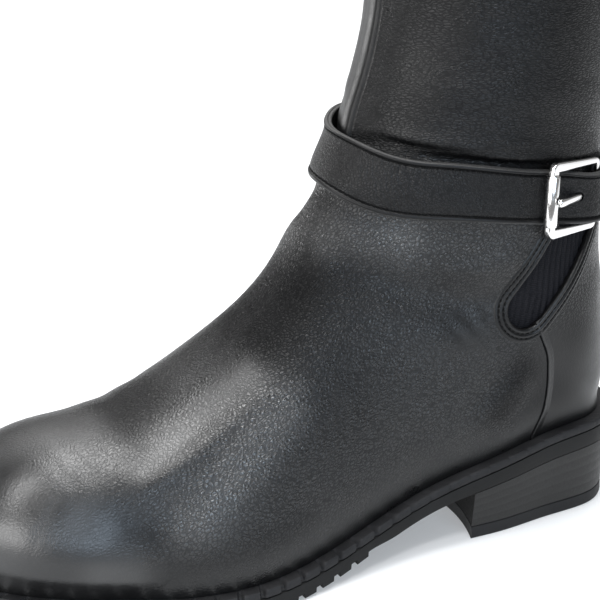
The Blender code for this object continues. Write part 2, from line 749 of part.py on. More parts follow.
def build_welt(material, group):
    """Flat ring under the upper's edge; its outer edge is notched into a row of blocks."""
    _, around = welt_loop(WELT_OUT, 8)
    blocks = int(round(around / WELT_BLOCK))
    step = 1.0 / blocks
    notch = WELT_NOTCH_SHARE * step
    slope = WELT_NOTCH_SLOPE * step
    starts = np.arange(blocks) * step
    places = np.sort(np.concatenate([starts, starts + slope, starts + notch, starts + notch + slope]))
    in_notch = np.tile([0.0, 1.0, 1.0, 0.0], blocks)[:, None]
    block = plan_at(WELT_OUT, places)
    hollow = plan_at(WELT_OUT - WELT_NOTCH_DEEP, places)
    outer = block * (1.0 - in_notch) + hollow * in_notch
    inner = plan_at(-WELT_IN, places)
    rings = ((outer, WELT_THICK), (outer, 0.0), (inner, 0.0), (inner, WELT_THICK))
    points = []
    for plan, drop in rings:
        level = feather_z(plan[:, 1]) - GAP - drop
        points += [(x, ORIGIN_S - s, z) for (x, s), z in zip(plan, level)]
    count = len(places)
    faces = []
    for ring in range(len(rings)):
        after = (ring + 1) % len(rings)
        for k in range(count):
            n = (k + 1) % count
            faces.append((ring * count + k, ring * count + n, after * count + n, after * count + k))
    mesh_object("welt", points, faces, material, group)


def lug_stations(outline):
    """Stations of the outsole with a pair at each side of every lug, and whether each is on a lug."""
    plain = plain_stations(outline, 8, 15)
    lugs = []
    start = LUG_FROM
    while start + LUG_PITCH * LUG_SHARE < LUG_TO:
        lugs.append((start, start + LUG_PITCH * LUG_SHARE))
        start += LUG_PITCH
    front, back = lugs[-1][1], lugs[0][0]
    marks = [(s, 0.0) for s in plain if s > front + 2.0 * LUG_SLOPE or s < back - 2.0 * LUG_SLOPE]
    for low, high in lugs:
        marks += [(low - LUG_SLOPE, 0.0), (low, 1.0), (high, 1.0), (high + LUG_SLOPE, 0.0)]
    marks.sort(reverse=True)
    return np.array([m[0] for m in marks]), np.array([m[1] for m in marks])


def build_outsole(material, group):
    outline = grown_outline(WELT_OUT)
    stations, on_lug = lug_stations(outline)
    root = LUG_DEEP * smooth_step(LUG_FROM - LUG_FADE, LUG_FROM, stations)
    root *= 1.0 - smooth_step(LUG_TO - LUG_FADE / 2.0, LUG_TO + LUG_FADE / 2.0, stations)
    top = plate_points(outline, stations, 4, sole_top)
    low = plate_points(outline, stations, 4, sole_floor)
    low[:, :, 2] += (root * (1.0 - on_lug))[:, None]
    shell_object("outsole", top, low, material, group)


def heel_grid(grow, level, columns=7, count=11):
    """Grid of points over the heel's plan, hollow breast in front, rounded back."""
    outline = grown_outline(grow)
    _, rear = station_ends(outline)
    share = np.linspace(-1.0, 1.0, columns)
    depth = np.sin(np.linspace(0.0, math.pi / 2.0, count))
    points = np.zeros((count, columns, 3))
    for j, side in enumerate(share):
        front = BREAST_S - BREAST_HOLLOW * (1.0 - side * side)
        s = front + (rear - front) * depth
        outer, inner = outline_at(outline, s)
        x = (outer + inner) / 2.0 - side * (outer - inner) / 2.0
        points[:, j] = np.stack([x, ORIGIN_S - s, level(s)], axis=-1)
    return points


def build_heel(material, lift_material, group):
    middle_grow = WELT_OUT - HEEL_TAPER
    top = heel_grid(WELT_OUT - GAP, lambda s: sole_floor(s) - GAP)
    low = heel_grid(middle_grow, lambda s: np.full_like(s, LIFT_THICK + GAP))
    shell_object("heel_stack", top, low, material, group)
    top = heel_grid(middle_grow, lambda s: np.full_like(s, LIFT_THICK))
    low = heel_grid(middle_grow - LIFT_DRAFT, lambda s: np.zeros_like(s))
    shell_object("top_lift", top, low, lift_material, group)


def build_boot():
    clear_scene()
    group = make_collection("motorcycle_boot")
    cutters = make_collection("cutters")
    leather = make_material("black leather", (0.012, 0.012, 0.013), 0.35)
    shaft_leather = make_material("black shaft leather", (0.013, 0.013, 0.014), 0.4)
    strap_leather = make_material("black strap leather", (0.012, 0.012, 0.013), 0.38)
    elastic = make_material("black ribbed elastic", (0.01, 0.01, 0.012), 0.8)
    metal = make_material("polished buckle metal", (0.85, 0.85, 0.86), 0.15, 1.0)
    roller_metal = make_material("polished roller metal", (0.87, 0.87, 0.88), 0.14, 1.0)
    prong_metal = make_material("polished prong metal", (0.84, 0.84, 0.85), 0.16, 1.0)
    welt_rubber = make_material("black welt rubber", (0.016, 0.016, 0.016), 0.6)
    sole_rubber = make_material("black sole rubber", (0.018, 0.018, 0.018), 0.65)
    heel_stuff = make_material("stacked heel", (0.02, 0.02, 0.021), 0.55)
    lift_rubber = make_material("black lift rubber", (0.02, 0.02, 0.02), 0.7)
    insole_stuff = make_material("insole board", (0.12, 0.1, 0.08), 0.8)
    build_upper(leather, group, cutters)
    build_shaft(shaft_leather, group)
    build_gore(elastic, group)
    build_strap(strap_leather, group, cutters)
    build_buckle(metal, group, cutters)
    bpy.data.objects["buckle_roller"].data.materials[0] = roller_metal
    prong_solid("buckle_prong", PRONG_RADIUS, prong_metal, group)
    build_insole(insole_stuff, group)
    build_welt(welt_rubber, group)
    build_outsole(sole_rubber, group)
    build_heel(heel_stuff, lift_rubber, group)


build_boot()
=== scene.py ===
"""Dressed left motorcycle boot: leather, elastic, buckle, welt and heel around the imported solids."""
import json
import math
from collections import namedtuple
from functools import lru_cache

import bmesh
import bpy
import numpy as np
from mathutils import Matrix

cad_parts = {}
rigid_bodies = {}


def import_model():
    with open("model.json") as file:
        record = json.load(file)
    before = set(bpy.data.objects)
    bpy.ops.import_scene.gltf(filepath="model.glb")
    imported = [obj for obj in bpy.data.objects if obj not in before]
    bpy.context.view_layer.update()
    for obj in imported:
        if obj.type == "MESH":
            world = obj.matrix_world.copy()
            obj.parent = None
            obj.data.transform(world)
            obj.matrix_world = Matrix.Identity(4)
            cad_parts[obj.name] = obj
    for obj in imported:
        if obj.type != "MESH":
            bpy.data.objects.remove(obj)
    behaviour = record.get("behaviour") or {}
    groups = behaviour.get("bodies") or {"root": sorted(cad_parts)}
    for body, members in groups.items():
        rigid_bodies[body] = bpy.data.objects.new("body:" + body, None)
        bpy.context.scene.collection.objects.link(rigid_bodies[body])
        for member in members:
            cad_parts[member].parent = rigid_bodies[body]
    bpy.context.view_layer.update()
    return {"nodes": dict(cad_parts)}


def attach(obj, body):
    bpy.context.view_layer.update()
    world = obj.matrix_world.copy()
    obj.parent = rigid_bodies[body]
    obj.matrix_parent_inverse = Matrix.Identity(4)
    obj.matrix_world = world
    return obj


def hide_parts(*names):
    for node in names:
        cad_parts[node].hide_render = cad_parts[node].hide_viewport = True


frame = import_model()

# Driving sizes in millimetres; s runs from the back of the heel towards the toe
MM = 0.001
LAST_LENGTH = 267.0
BALL_WIDTH = 92.0
INSTEP_HEIGHT = 135.3
HEEL_HEIGHT = 37.5
SHAFT_HEIGHT = 247.0
ORIGIN_S = 131.0
GAP = 0.3
WALL = 2.0
FINE_STEP = 0.004
WELD = 0.00001
TINY = 1e-9

# Upper sections from toe to collar, in percent. Low and top end in side view: s of the last's length,
# z up to 100 of the heel or instep height and from there to 200 of the rest up to the collar.
# Half widths, and the widest line's distance from the top end: of the ball width. Crown: power of the arch.
Section = namedtuple(
    "Section",
    "name low_s low_z top_s top_z spine lean lat med foot_lat foot_med reach crown",
)
SECTIONS = (
    Section("tip", 100.0, 48.0, 100.0, 48.8, -8.7, -8.7, 40.2, 40.2, 38.0, 38.0, 35.0, 2.3),
    Section("toe", 83.1, 32.0, 83.1, 47.3, -5.4, -4.3, 45.1, 44.6, 42.9, 41.8, 37.7, 2.3),
    Section("ball_front", 73.0, 25.6, 73.0, 50.8, -2.2, -3.3, 50.5, 48.9, 48.4, 45.7, 45.0, 2.2),
    Section("ball", 62.9, 24.8, 62.9, 60.8, 0.0, -4.3, 52.2, 47.8, 49.5, 43.5, 58.6, 2.1),
    Section("waist", 50.6, 34.7, 52.4, 76.9, 0.0, -3.3, 46.2, 42.4, 42.6, 35.9, 73.3, 2.0),
    Section("instep", 35.6, 64.0, 48.4, 89.7, 0.0, -2.2, 39.1, 38.0, 35.0, 30.4, 83.2, 2.0),
    Section("heel_front", 22.5, 85.1, 46.8, 94.8, 0.0, -1.1, 38.0, 36.4, 35.0, 32.6, 92.9, 2.0),
    Section("heel_side", 10.5, 96.8, 45.8, 97.8, 0.0, 0.0, 37.6, 36.5, 31.5, 31.5, 101.1, 2.0),
    Section("heel_back", 0.0, 100.0, 45.0, 99.9, 0.0, 0.0, 37.8, 37.0, 30.4, 30.4, 104.3, 2.0),
    Section("heel_bulge", -0.9, 111.7, 44.4, 102.1, 0.0, 0.0, 38.6, 38.0, 0.0, 0.0, 95.1, 2.0),
    Section("ankle", 0.4, 127.0, 43.7, 105.2, 0.0, 0.0, 39.8, 39.3, 0.0, 0.0, 78.8, 2.0),
    Section("strap_low", 0.4, 135.1, 42.4, 110.6, 0.0, 0.0, 40.4, 40.2, 0.0, 0.0, 65.0, 2.0),
    Section("strap_high", 0.7, 145.1, 40.4, 118.5, 0.0, 0.0, 40.4, 40.4, 0.0, 0.0, 59.0, 2.0),
    Section("slouch", 0.4, 150.8, 39.2, 128.4, 0.0, 0.0, 44.1, 44.1, 0.0, 0.0, 57.6, 2.0),
    Section("leg", -0.9, 169.0, 35.4, 158.8, 0.0, 0.0, 46.1, 46.1, 0.0, 0.0, 53.8, 2.0),
    Section("collar", -3.7, 198.1, 35.6, 200.0, 0.0, 0.0, 48.4, 48.4, 0.0, 0.0, 57.1, 2.0),
)
COLUMN = {name: k for k, name in enumerate(Section._fields[1:])}
ROW = {section.name: k for k, section in enumerate(SECTIONS)}
TOE_CAP = 48.0
TOE_ROUND = 2.25
HEEL_CAP = 34.0
HEEL_ROUND = 2.0
JOINT_ROW = ROW["strap_low"] + 0.6
JOINT_GAP = 0.026
FEATHER_COUNT = (60, 160, 40)

# Sole stack
WELT_OUT = 5.0
WELT_IN = 3.0
WELT_THICK = 3.0
WELT_BLOCK = 8.6
WELT_NOTCH_SHARE = 0.34
WELT_NOTCH_DEEP = 1.8
WELT_NOTCH_START = 0.07
WELT_NOTCH_FLAT = 0.45
WELT_NOTCH_SINK = 1.5
WELT_FADE = (72.0, 128.0)
WELT_FADE_LEFT = 0.12
WELT_STEPS = 16
SOLE_THICK = 6.3
SOLE_WAIST_THIN = 1.6
WAIST_SPREAD = 34.0
LUG_DEEP = 1.8
LUG_PITCH = 8.0
LUG_SHARE = 0.62
LUG_FROM = 122.0
LUG_TO = 262.0
LUG_SLOPE = 0.25
LUG_FADE = 14.0
SOLE_STEPS = (30, 90, 24)
SOLE_SOFT = 0.5
SOLE_SOFT_SHARE = 0.3
SOLE_RIM = ((1.0, 0.0), (0.15, 0.3), (0.0, 1.0))
BREAST_S = 74.0
BREAST_HOLLOW = 6.0
HEEL_TAPER = 3.2
LIFT_THICK = 5.0
HEEL_LAYERS = 5
HEEL_STEPS = 120
BREAST_STEPS = 26

# Edge of each heel layer from its top down: share of its height, inset. Edge of the lift: inset, height.
HEEL_EDGE = ((0.0, 0.06), (0.08, 0.0), (0.5, -0.02), (0.92, 0.0), (1.0, 0.06))
LIFT_EDGE = ((0.3, LIFT_THICK), (0.0, LIFT_THICK - 0.3), (0.0, 0.9), (0.15, 0.3), (0.6, 0.0))

# Elastic panel and its cut-out: centre line in side view
GORE_THICK = 1.2
GORE_TOP = (27.0, 118.0)
GORE_LOW = (51.0, 89.5)
GORE_WIDE_TOP = 10.5
GORE_WIDE_LOW = 8.2
GORE_BACK_RISE = 7.0
GORE_DEPTH = 2.75
RIB_PITCH = 2.7
RIB_HIGH = 0.95
RIB_ROUND = 0.7
RIB_SWAY = 0.45
RIB_SWAY_LENGTH = 4.5
RIB_SLANT = 0.12
RIB_UPRIGHT_Z = 95.0

# Elastic panel behind the cut-out: row, turn of its middle and half its width in degrees
GORE_PATCH = (
    (7.55, 103.0, 13.0), (8.2, 101.0, 17.6), (9.0, 88.0, 23.0), (10.0, 64.0, 23.0), (11.35, 56.0, 23.0),
)

# Side seam of the quarter, from the cut-out to the sole: s and z in side view
SIDE_SEAM = ((47.4, 84.0), (44.3, 77.2), (40.9, 69.4), (40.4, 58.0), (41.0, 47.0), (46.0, 34.0))

# Ankle strap and buckle; angles run round the ankle, 0 at the back, 90 outer side, 180 front
STRAP_WIDE = 21.0
STRAP_THICK = 2.8
STRAP_GAP = 0.75
STRAP_STAND = (0.6, 2.2)
STRAP_FRONT_SPREAD = 34.0
STRAP_START = 46.0
ROLLER_ANGLE = 81.0
HEEL_BAR_ANGLE = 52.0
STRAP_TAIL_ANGLE = 18.0
STRAP_TAIL_ROUND = 16.0
STRAP_TAIL_POWER = 2.4
STRAP_RISE_FROM = 4.0
STRAP_RISE_TO = 3.0
STRAP_REACH = 4.0
STRAP_FINE = 101
STRAP_STITCH_IN = 2.2
ROLLER_RADIUS = 2.5
ROLLER_LENGTH = 19.2
BAR_WIDE = 3.2
BAR_THICK = 2.6
BAR_FRONT_HALF = 1.9
BAR_REAR_HALF = 1.1
HEEL_BAR_LIFT = 3.7
HEEL_BAR_SHARE = 0.7
FRAME_SPARE = 1.3
PRONG_RADIUS = 1.1
PRONG_WIDE = 1.35
PRONG_FLAT = 0.95
PRONG_TIP = 0.1
PRONG_TIP_LEFT = 0.05
PRONG_SIDES = 20
PRONG_STEPS = 41
PRONG_HOLE_STEPS = 25
PRONG_HOLE_SHARE = 0.42
PRONG_BEND = 2.2
STRAP_HOLE_ANGLE = 33.0
STRAP_HOLE_RADIUS = 1.3
STRAP_HOLE_LIFTS = (-4.0, 2.0, 8.0, 14.0)
STRAP_HOLE_SIDES = 24

# Lower edge of the strap as row positions, at even steps round the ankle from back to back
STRAP_PATH = (11.45, 11.31, 11.00, 10.69, 10.15, 9.33, 9.55, 10.60, 11.15, 11.38, 11.50, 11.50, 11.45)
STRAP_PATH_STEP = 30.0

# Camera of the photograph's view: angles in degrees, lengths in millimetres
CAMERA_AZIMUTH = 65.59
CAMERA_ELEVATION = 18.57
CAMERA_ROLL = -1.82
CAMERA_DISTANCE = 640.0
CAMERA_TARGET = (0.0, ORIGIN_S - 127.62, 96.0)
CAMERA_LENS = 103.44
CAMERA_SENSOR = 36.0
CAMERA_NEAR = 0.01


# Section mathematics


def section_table():
    """Section rows in millimetres."""
    table = np.array([section[1:] for section in SECTIONS], float)
    for name in ("low_s", "top_s"):
        table[:, COLUMN[name]] *= LAST_LENGTH / 100.0
    for name, lower in (("low_z", HEEL_HEIGHT), ("top_z", INSTEP_HEIGHT)):
        column = table[:, COLUMN[name]]
        table[:, COLUMN[name]] = np.interp(column, (0.0, 100.0, 200.0), (0.0, lower, SHAFT_HEIGHT))
    for name in ("spine", "lean", "lat", "med", "foot_lat", "foot_med", "reach"):
        table[:, COLUMN[name]] *= BALL_WIDTH / 100.0
    return table


TABLE = section_table()


def natural_spline(values, place):
    """Smooth curve through equally spaced rows of values, read at the given row positions."""
    count = len(values)
    system = np.eye(count)
    inner = np.arange(1, count - 1)
    system[inner, inner] = 4.0
    system[inner, inner - 1] = 1.0
    system[inner, inner + 1] = 1.0
    bend = np.zeros_like(values)
    bend[1:-1] = 6.0 * (values[:-2] - 2.0 * values[1:-1] + values[2:])
    bend = np.linalg.solve(system, bend)
    low = np.clip(np.floor(place).astype(int), 0, count - 2)
    part = (place - low)[:, None]
    rest = 1.0 - part
    line = values[low] * rest + values[low + 1] * part
    return line + (rest ** 3 - rest) * bend[low] / 6.0 + (part ** 3 - part) * bend[low + 1] / 6.0


def round_end(part, power):
    """Share of full width at a part of the way into a rounded end."""
    part = np.clip(part, 0.0, 1.0)
    return (1.0 - part ** power) ** (1.0 / power)


def unit(vectors):
    """Vectors brought to length 1."""
    return vectors / np.maximum(np.linalg.norm(vectors, axis=-1, keepdims=True), TINY)


def side_view(points):
    """Places s and z of points as seen from the side."""
    return ORIGIN_S - points[..., 1], points[..., 2]


def smooth_step(low, high, value):
    part = np.clip((value - low) / (high - low), 0.0, 1.0)
    return part * part * (3.0 - 2.0 * part)


def section_values(rows):
    """Table columns at any row positions, with the toe and the heel seat rounded off."""
    value = natural_spline(TABLE, rows)
    corner = ROW["heel_back"]
    ends = [COLUMN["low_s"], COLUMN["low_z"]]
    under = natural_spline(TABLE[:corner + 1, ends], np.minimum(rows, corner))
    behind = natural_spline(TABLE[corner:, ends], np.maximum(rows, corner) - corner)
    value[:, ends] = np.where((rows <= corner)[:, None], under, behind)
    low_s = value[:, COLUMN["low_s"]]
    toe = round_end((low_s - LAST_LENGTH + TOE_CAP) / TOE_CAP, TOE_ROUND)
    heel = round_end((HEEL_CAP - low_s) / HEEL_CAP, HEEL_ROUND)
    heel = np.where(rows < corner, heel, 0.0)
    for name in ("lat", "med", "foot_lat", "foot_med"):
        value[:, COLUMN[name]] *= toe
    for name in ("foot_lat", "foot_med"):
        value[:, COLUMN[name]] *= heel
    low_z = value[:, COLUMN["low_z"]]
    rise = value[:, COLUMN["top_z"]] - low_z
    length = np.hypot(value[:, COLUMN["top_s"]] - low_s, rise)
    value[:, COLUMN["top_z"]] = low_z + rise * toe
    value[:, COLUMN["reach"]] /= length
    return value


def leather(row, turn):
    """Outer face of the last. turn: 0 outer low edge or back seam, pi top or front, 2 pi inner low edge."""
    row, turn = np.broadcast_arrays(np.asarray(row, float), np.asarray(turn, float))
    value = section_values(row.ravel())

    def column(name):
        return value[:, COLUMN[name]].reshape(row.shape)

    turn = np.where((turn < 0.0) | (turn > 2.0 * math.pi), turn % (2.0 * math.pi), turn)
    outer = turn <= math.pi
    angle = np.where(outer, turn, 2.0 * math.pi - turn)
    wide = np.where(outer, column("lat"), column("med"))
    foot = np.where(outer, column("foot_lat"), column("foot_med"))
    low = angle <= math.pi / 2.0
    quarter = np.where(low, angle, angle - math.pi / 2.0)
    rise = np.clip(np.sin(quarter), 0.0, 1.0)
    fall = np.clip(np.cos(quarter), 0.0, 1.0)
    power = 2.0 / column("crown")
    widest = 1.0 - column("reach")
    bellied = np.sqrt(np.maximum(wide ** 2 - fall ** 2 * (wide ** 2 - foot ** 2), 0.0))
    across = np.where(low, bellied, wide * fall ** power)
    height = np.where(low, widest * (1.0 - fall), widest + (1.0 - widest) * rise ** power)
    middle = column("spine") + (column("lean") - column("spine")) * height
    x = middle + across * np.where(outer, 1.0, -1.0)
    s = column("low_s") + (column("top_s") - column("low_s")) * height
    z = column("low_z") + (column("top_z") - column("low_z")) * height
    return np.stack([x, ORIGIN_S - s, z], axis=-1)


def leather_normal(row, turn):
    """Outward unit normals; along the open lower edge they are read from inside the sheet."""
    row, turn = np.broadcast_arrays(np.asarray(row, float), np.asarray(turn, float))
    is_open = row <= ROW["heel_back"]
    before = np.where(is_open, np.maximum(turn - FINE_STEP, 0.0), turn - FINE_STEP)
    after = np.where(is_open, np.minimum(turn + FINE_STEP, 2.0 * math.pi), turn + FINE_STEP)
    along = leather(row + FINE_STEP, turn) - leather(np.maximum(row - FINE_STEP, 0.0), turn)
    return unit(np.cross(along, leather(row, after) - leather(row, before)))


def lifted(row, turn, lift):
    """Points over the leather by lift along its normal."""
    return leather(row, turn) + leather_normal(row, turn) * np.asarray(lift, float)[..., None]


def eased(start, stop, count):
    """Row positions from start to stop, closing up towards stop."""
    return start + (stop - start) * np.sin(np.linspace(0.0, math.pi / 2.0, count))


def foot_rows(toe_count, mid_count, heel_count):
    toe = eased(ROW["toe"], ROW["tip"], toe_count)[::-1]
    middle = np.linspace(ROW["toe"], ROW["heel_side"], mid_count)[1:]
    heel = eased(ROW["heel_side"], ROW["heel_back"], heel_count)[1:]
    return np.concatenate([toe, middle, heel])


# Sole mathematics


def grown_outline(grow):
    """Upper's lower edge pushed out in plan by grow: (outer, inner) arrays of x and s from tip to heel."""
    value = section_values(foot_rows(*FEATHER_COUNT))
    spine = value[:, COLUMN["spine"]]
    low_s = value[:, COLUMN["low_s"]]
    outer = np.stack([spine + value[:, COLUMN["foot_lat"]], low_s], axis=-1)
    inner = np.stack([spine - value[:, COLUMN["foot_med"]], low_s], axis=-1)
    loop = np.concatenate([outer, inner[-2:0:-1]])
    ahead = np.roll(loop, -1, axis=0) - np.roll(loop, 1, axis=0)
    loop = loop + grow * unit(np.stack([-ahead[:, 1], ahead[:, 0]], axis=-1))
    count = len(outer)
    return loop[:count], np.concatenate([loop[:1], loop[:count - 2:-1]])


def feather_z(s):
    value = section_values(foot_rows(*FEATHER_COUNT))
    return np.interp(s, value[::-1, COLUMN["low_s"]], value[::-1, COLUMN["low_z"]])


def sole_top(s):
    return feather_z(s) - WELT_THICK - 2.0 * GAP


def sole_floor(s):
    """Underside of the outsole: flat under the ball, arched at the waist, sprung at the toe."""
    waist = TABLE[ROW["instep"], COLUMN["low_s"]]
    arch = np.exp(-((s - waist) / WAIST_SPREAD) ** 2)
    return np.maximum(sole_top(s) - (SOLE_THICK - SOLE_WAIST_THIN * arch), 0.0)


def outline_at(outline, s):
    outer, inner = outline
    return (
        np.interp(s, outer[::-1, 1], outer[::-1, 0]),
        np.interp(s, inner[::-1, 1], inner[::-1, 0]),
    )


def way_gone(path):
    """Length of a path from its start to each of its points."""
    return np.concatenate([[0.0], np.cumsum(np.linalg.norm(np.diff(path, axis=0), axis=1))])


def plan_loop(grow, places):
    """Plan points (x, s) at shares of the way round the sole, and the length of the way."""
    outer, inner = grown_outline(grow)
    loop = np.concatenate([outer, inner[-2:0:-1], outer[:1]])
    length = way_gone(loop)
    where = places * length[-1]
    return np.stack([np.interp(where, length, loop[:, k]) for k in (0, 1)], axis=-1), length[-1]


# Mesh building


def grid_faces(rows, columns):
    first = np.arange(rows - 1)[:, None] * columns + np.arange(columns - 1)[None, :]
    quads = np.stack([first, first + 1, first + columns + 1, first + columns], axis=-1)
    return quads.reshape(-1, 4).tolist()


def loop_faces(rings, count, closed=False):
    """Quads between rings of count points; closed joins the last ring to the first."""
    ring = np.arange(rings if closed else rings - 1)[:, None]
    after = (ring + 1) % rings
    here = np.arange(count)[None, :]
    ahead = (here + 1) % count
    corners = (ring * count + here, ring * count + ahead, after * count + ahead, after * count + here)
    return np.stack(corners, axis=-1).reshape(-1, 4).tolist()


def add_mesh(name, points, faces, materials, face_slots=None, fields=None):
    """Object from points in millimetres, with welded doubles, material slots and named point values."""
    mesh = bpy.data.meshes.new(name)
    mesh.from_pydata((np.asarray(points).reshape(-1, 3) * MM).tolist(), [], faces)
    for material in materials:
        mesh.materials.append(material)
    if face_slots is not None:
        mesh.polygons.foreach_set("material_index", np.asarray(face_slots, np.int32))
    for key, values in (fields or {}).items():
        layer = mesh.attributes.new(key, "FLOAT", "POINT")
        layer.data.foreach_set("value", np.asarray(values, np.float32))
    work = bmesh.new()
    work.from_mesh(mesh)
    bmesh.ops.remove_doubles(work, verts=work.verts, dist=WELD)
    bmesh.ops.dissolve_degenerate(work, edges=work.edges, dist=WELD)
    bmesh.ops.recalc_face_normals(work, faces=work.faces)
    work.to_mesh(mesh)
    work.free()
    item = bpy.data.objects.new(name, mesh)
    bpy.context.scene.collection.objects.link(item)
    return item


def settle(item, sharp_degrees=45.0):
    """Turns the modifiers into mesh and shades it smooth up to the given angle."""
    bpy.context.view_layer.update()
    view = item.evaluated_get(bpy.context.evaluated_depsgraph_get())
    mesh = bpy.data.meshes.new_from_object(view)
    item.modifiers.clear()
    item.data = mesh
    mesh.shade_smooth()
    mesh.set_sharp_from_angle(angle=math.radians(sharp_degrees))
    return item


def thicken(item, thickness):
    """Gives a sheet its wall inwards; the inside takes the last material."""
    wall = item.modifiers.new("wall", "SOLIDIFY")
    wall.thickness = thickness * MM
    wall.offset = -1.0
    wall.material_offset = 1
    return item


def declare(item, slot, *nodes):
    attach(item, "root")
    if nodes:
        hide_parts(*nodes)


def clip_faces(data, faces, field):
    """Keeps the part of the faces where field is at least 0; data rows are interpolated on the cut."""
    data = list(data)
    kept = []
    made = {}

    def cut_at(a, b):
        key = (min(a, b), max(a, b))
        if key not in made:
            share = field[a] / (field[a] - field[b])
            made[key] = len(data)
            data.append(data[a] * (1.0 - share) + data[b] * share)
        return made[key]

    for face in faces:
        inside = [field[k] >= 0.0 for k in face]
        if all(inside):
            kept.append(tuple(face))
            continue
        if not any(inside):
            continue
        ring = []
        for k, a in enumerate(face):
            b = face[(k + 1) % len(face)]
            if field[a] >= 0.0:
                ring.append(a)
            if (field[a] >= 0.0) != (field[b] >= 0.0):
                ring.append(cut_at(a, b))
        if len(ring) > 2:
            kept.append(tuple(ring))
    return np.array(data), kept


# Materials: patterns per metre, depths in metres
PORE_SCALE = 2600.0
PORE_DEPTH = 0.00004
PATCH_SCALE = 45.0
CLOUD_SCALE = 90.0
WRINKLE_SCALE = 850.0
WRINKLE_DEPTH = 0.00006
# Share of the shine left in the grain's furrows and wrinkles: painted shade in these recesses
FURROW_SHINE = 0.6
BLACK = (0.0026, 0.0026, 0.0028)
PALE_BLACK = tuple(1.5 * level for level in BLACK)

# Leathers: roughness, shine, size and depth of the grain, and how the grain is turned and stretched
Hide = namedtuple("Hide", "name rough shine grain depth turn stretch")
VAMP_HIDE = Hide("vamp leather", 0.26, 0.5, 0.0012, 0.00015, (30.0, 0.0, 0.0), (1.0, 1.4, 0.9))
SHAFT_HIDE = Hide("shaft leather", 0.30, 0.29, 0.0010, 0.00015, (0.0, 0.0, 0.0), (2.3, 2.3, 0.8))
STRAP_HIDE = Hide("strap leather", 0.30, 0.29, 0.0010, 0.00013, (0.0, 0.0, 0.0), (1.0, 1.0, 1.0))

# Rubbers: darkest and palest colour, roughness, depth of the pits
Rubber = namedtuple("Rubber", "name low high rough pits")
WELT_RUBBER = Rubber("welt rubber", (0.010, 0.010, 0.011), (0.018, 0.018, 0.019), 0.6, 0.0003)
SOLE_RUBBER = Rubber("sole rubber", (0.004, 0.004, 0.004), (0.009, 0.009, 0.009), 0.55, 0.0002)
LIFT_RUBBER = Rubber("lift rubber", (0.010, 0.010, 0.011), (0.018, 0.018, 0.018), 0.6, 0.0002)


class Look:
    """A material whose shader sockets are set to values or fed by patterns."""

    def __init__(self, name, **sockets):
        self.material = bpy.data.materials.new(name)
        self.material.use_nodes = True
        self.tree = self.material.node_tree
        self.shader = self.tree.nodes["Principled BSDF"]
        self.feed(**sockets)

    def join(self, value, socket):
        if isinstance(value, bpy.types.NodeSocket):
            self.tree.links.new(value, socket)
        else:
            socket.default_value = value

    def feed(self, **sockets):
        for name, value in sockets.items():
            self.join(value, self.shader.inputs[name.replace("_", " ")])

    def node(self, kind, sockets, **settings):
        node = self.tree.nodes.new("ShaderNode" + kind)
        for key, value in settings.items():
            setattr(node, key, value)
        for key, value in sockets.items():
            self.join(value, node.inputs[key])
        return node

    def times(self, first, second):
        return self.node("Math", {0: first, 1: second}, operation="MULTIPLY").outputs[0]

    def plus(self, first, second):
        return self.node("Math", {0: first, 1: second}, operation="ADD").outputs[0]

    def mapped(self, value, low, high, to_low=0.0, to_high=1.0):
        """Value brought from one range to another, held at its ends."""
        sockets = {"Value": value, "From Min": low, "From Max": high, "To Min": to_low, "To Max": to_high}
        return self.node("MapRange", sockets, interpolation_type="SMOOTHSTEP").outputs["Result"]

    def point_value(self, name):
        return self.node("Attribute", {}, attribute_name=name).outputs["Fac"]

    def place(self, turn=(0.0, 0.0, 0.0), stretch=(1.0, 1.0, 1.0)):
        """The object's own coordinates; the pattern is stretched along its axes and turned by degrees."""
        sockets = {
            "Vector": self.node("TexCoord", {}).outputs["Object"],
            "Rotation": [math.radians(angle) for angle in turn],
            "Scale": stretch,
        }
        return self.node("Mapping", sockets, vector_type="TEXTURE").outputs["Vector"]

    def noise(self, vector, scale, detail=3.0, rough=0.5, output="Fac"):
        sockets = {"Vector": vector, "Scale": scale, "Detail": detail, "Roughness": rough}
        return self.node("TexNoise", sockets).outputs[output]

    def warped(self, vector, scale, amount):
        """Coordinates shaken by a soft noise."""
        shake = self.noise(vector, scale, detail=2.0, output="Color")
        centred = self.node("VectorMath", {0: shake, 1: (0.5, 0.5, 0.5)}, operation="SUBTRACT")
        sized = self.node("VectorMath", {0: centred.outputs[0], "Scale": amount}, operation="SCALE")
        return self.node("VectorMath", {0: vector, 1: sized.outputs[0]}, operation="ADD").outputs[0]

    def cells(self, vector, scale):
        """Distance from the furrows between cells: 0 in them, about 0.5 in the middle of a cell."""
        node = self.node("TexVoronoi", {"Vector": vector, "Scale": scale}, feature="DISTANCE_TO_EDGE")
        return node.outputs["Distance"]

    def wave(self, vector, scale, direction, **sockets):
        sockets = {name.replace("_", " "): value for name, value in sockets.items()}
        node = self.node("TexWave", {"Vector": vector, "Scale": scale, **sockets}, bands_direction=direction)
        return node.outputs["Fac"]

    def bump(self, height, depth, strength=1.0, **under):
        sockets = {"Height": height, "Distance": depth, "Strength": strength, **under}
        return self.node("Bump", sockets).outputs["Normal"]

    def colours(self, factor, low, high):
        node = self.node("Mix", {"Factor": factor}, data_type="RGBA")
        ends = [socket for socket in node.inputs if socket.type == "RGBA"]
        ends[0].default_value = (*low, 1.0)
        ends[1].default_value = (*high, 1.0)
        return [socket for socket in node.outputs if socket.type == "RGBA"][0]


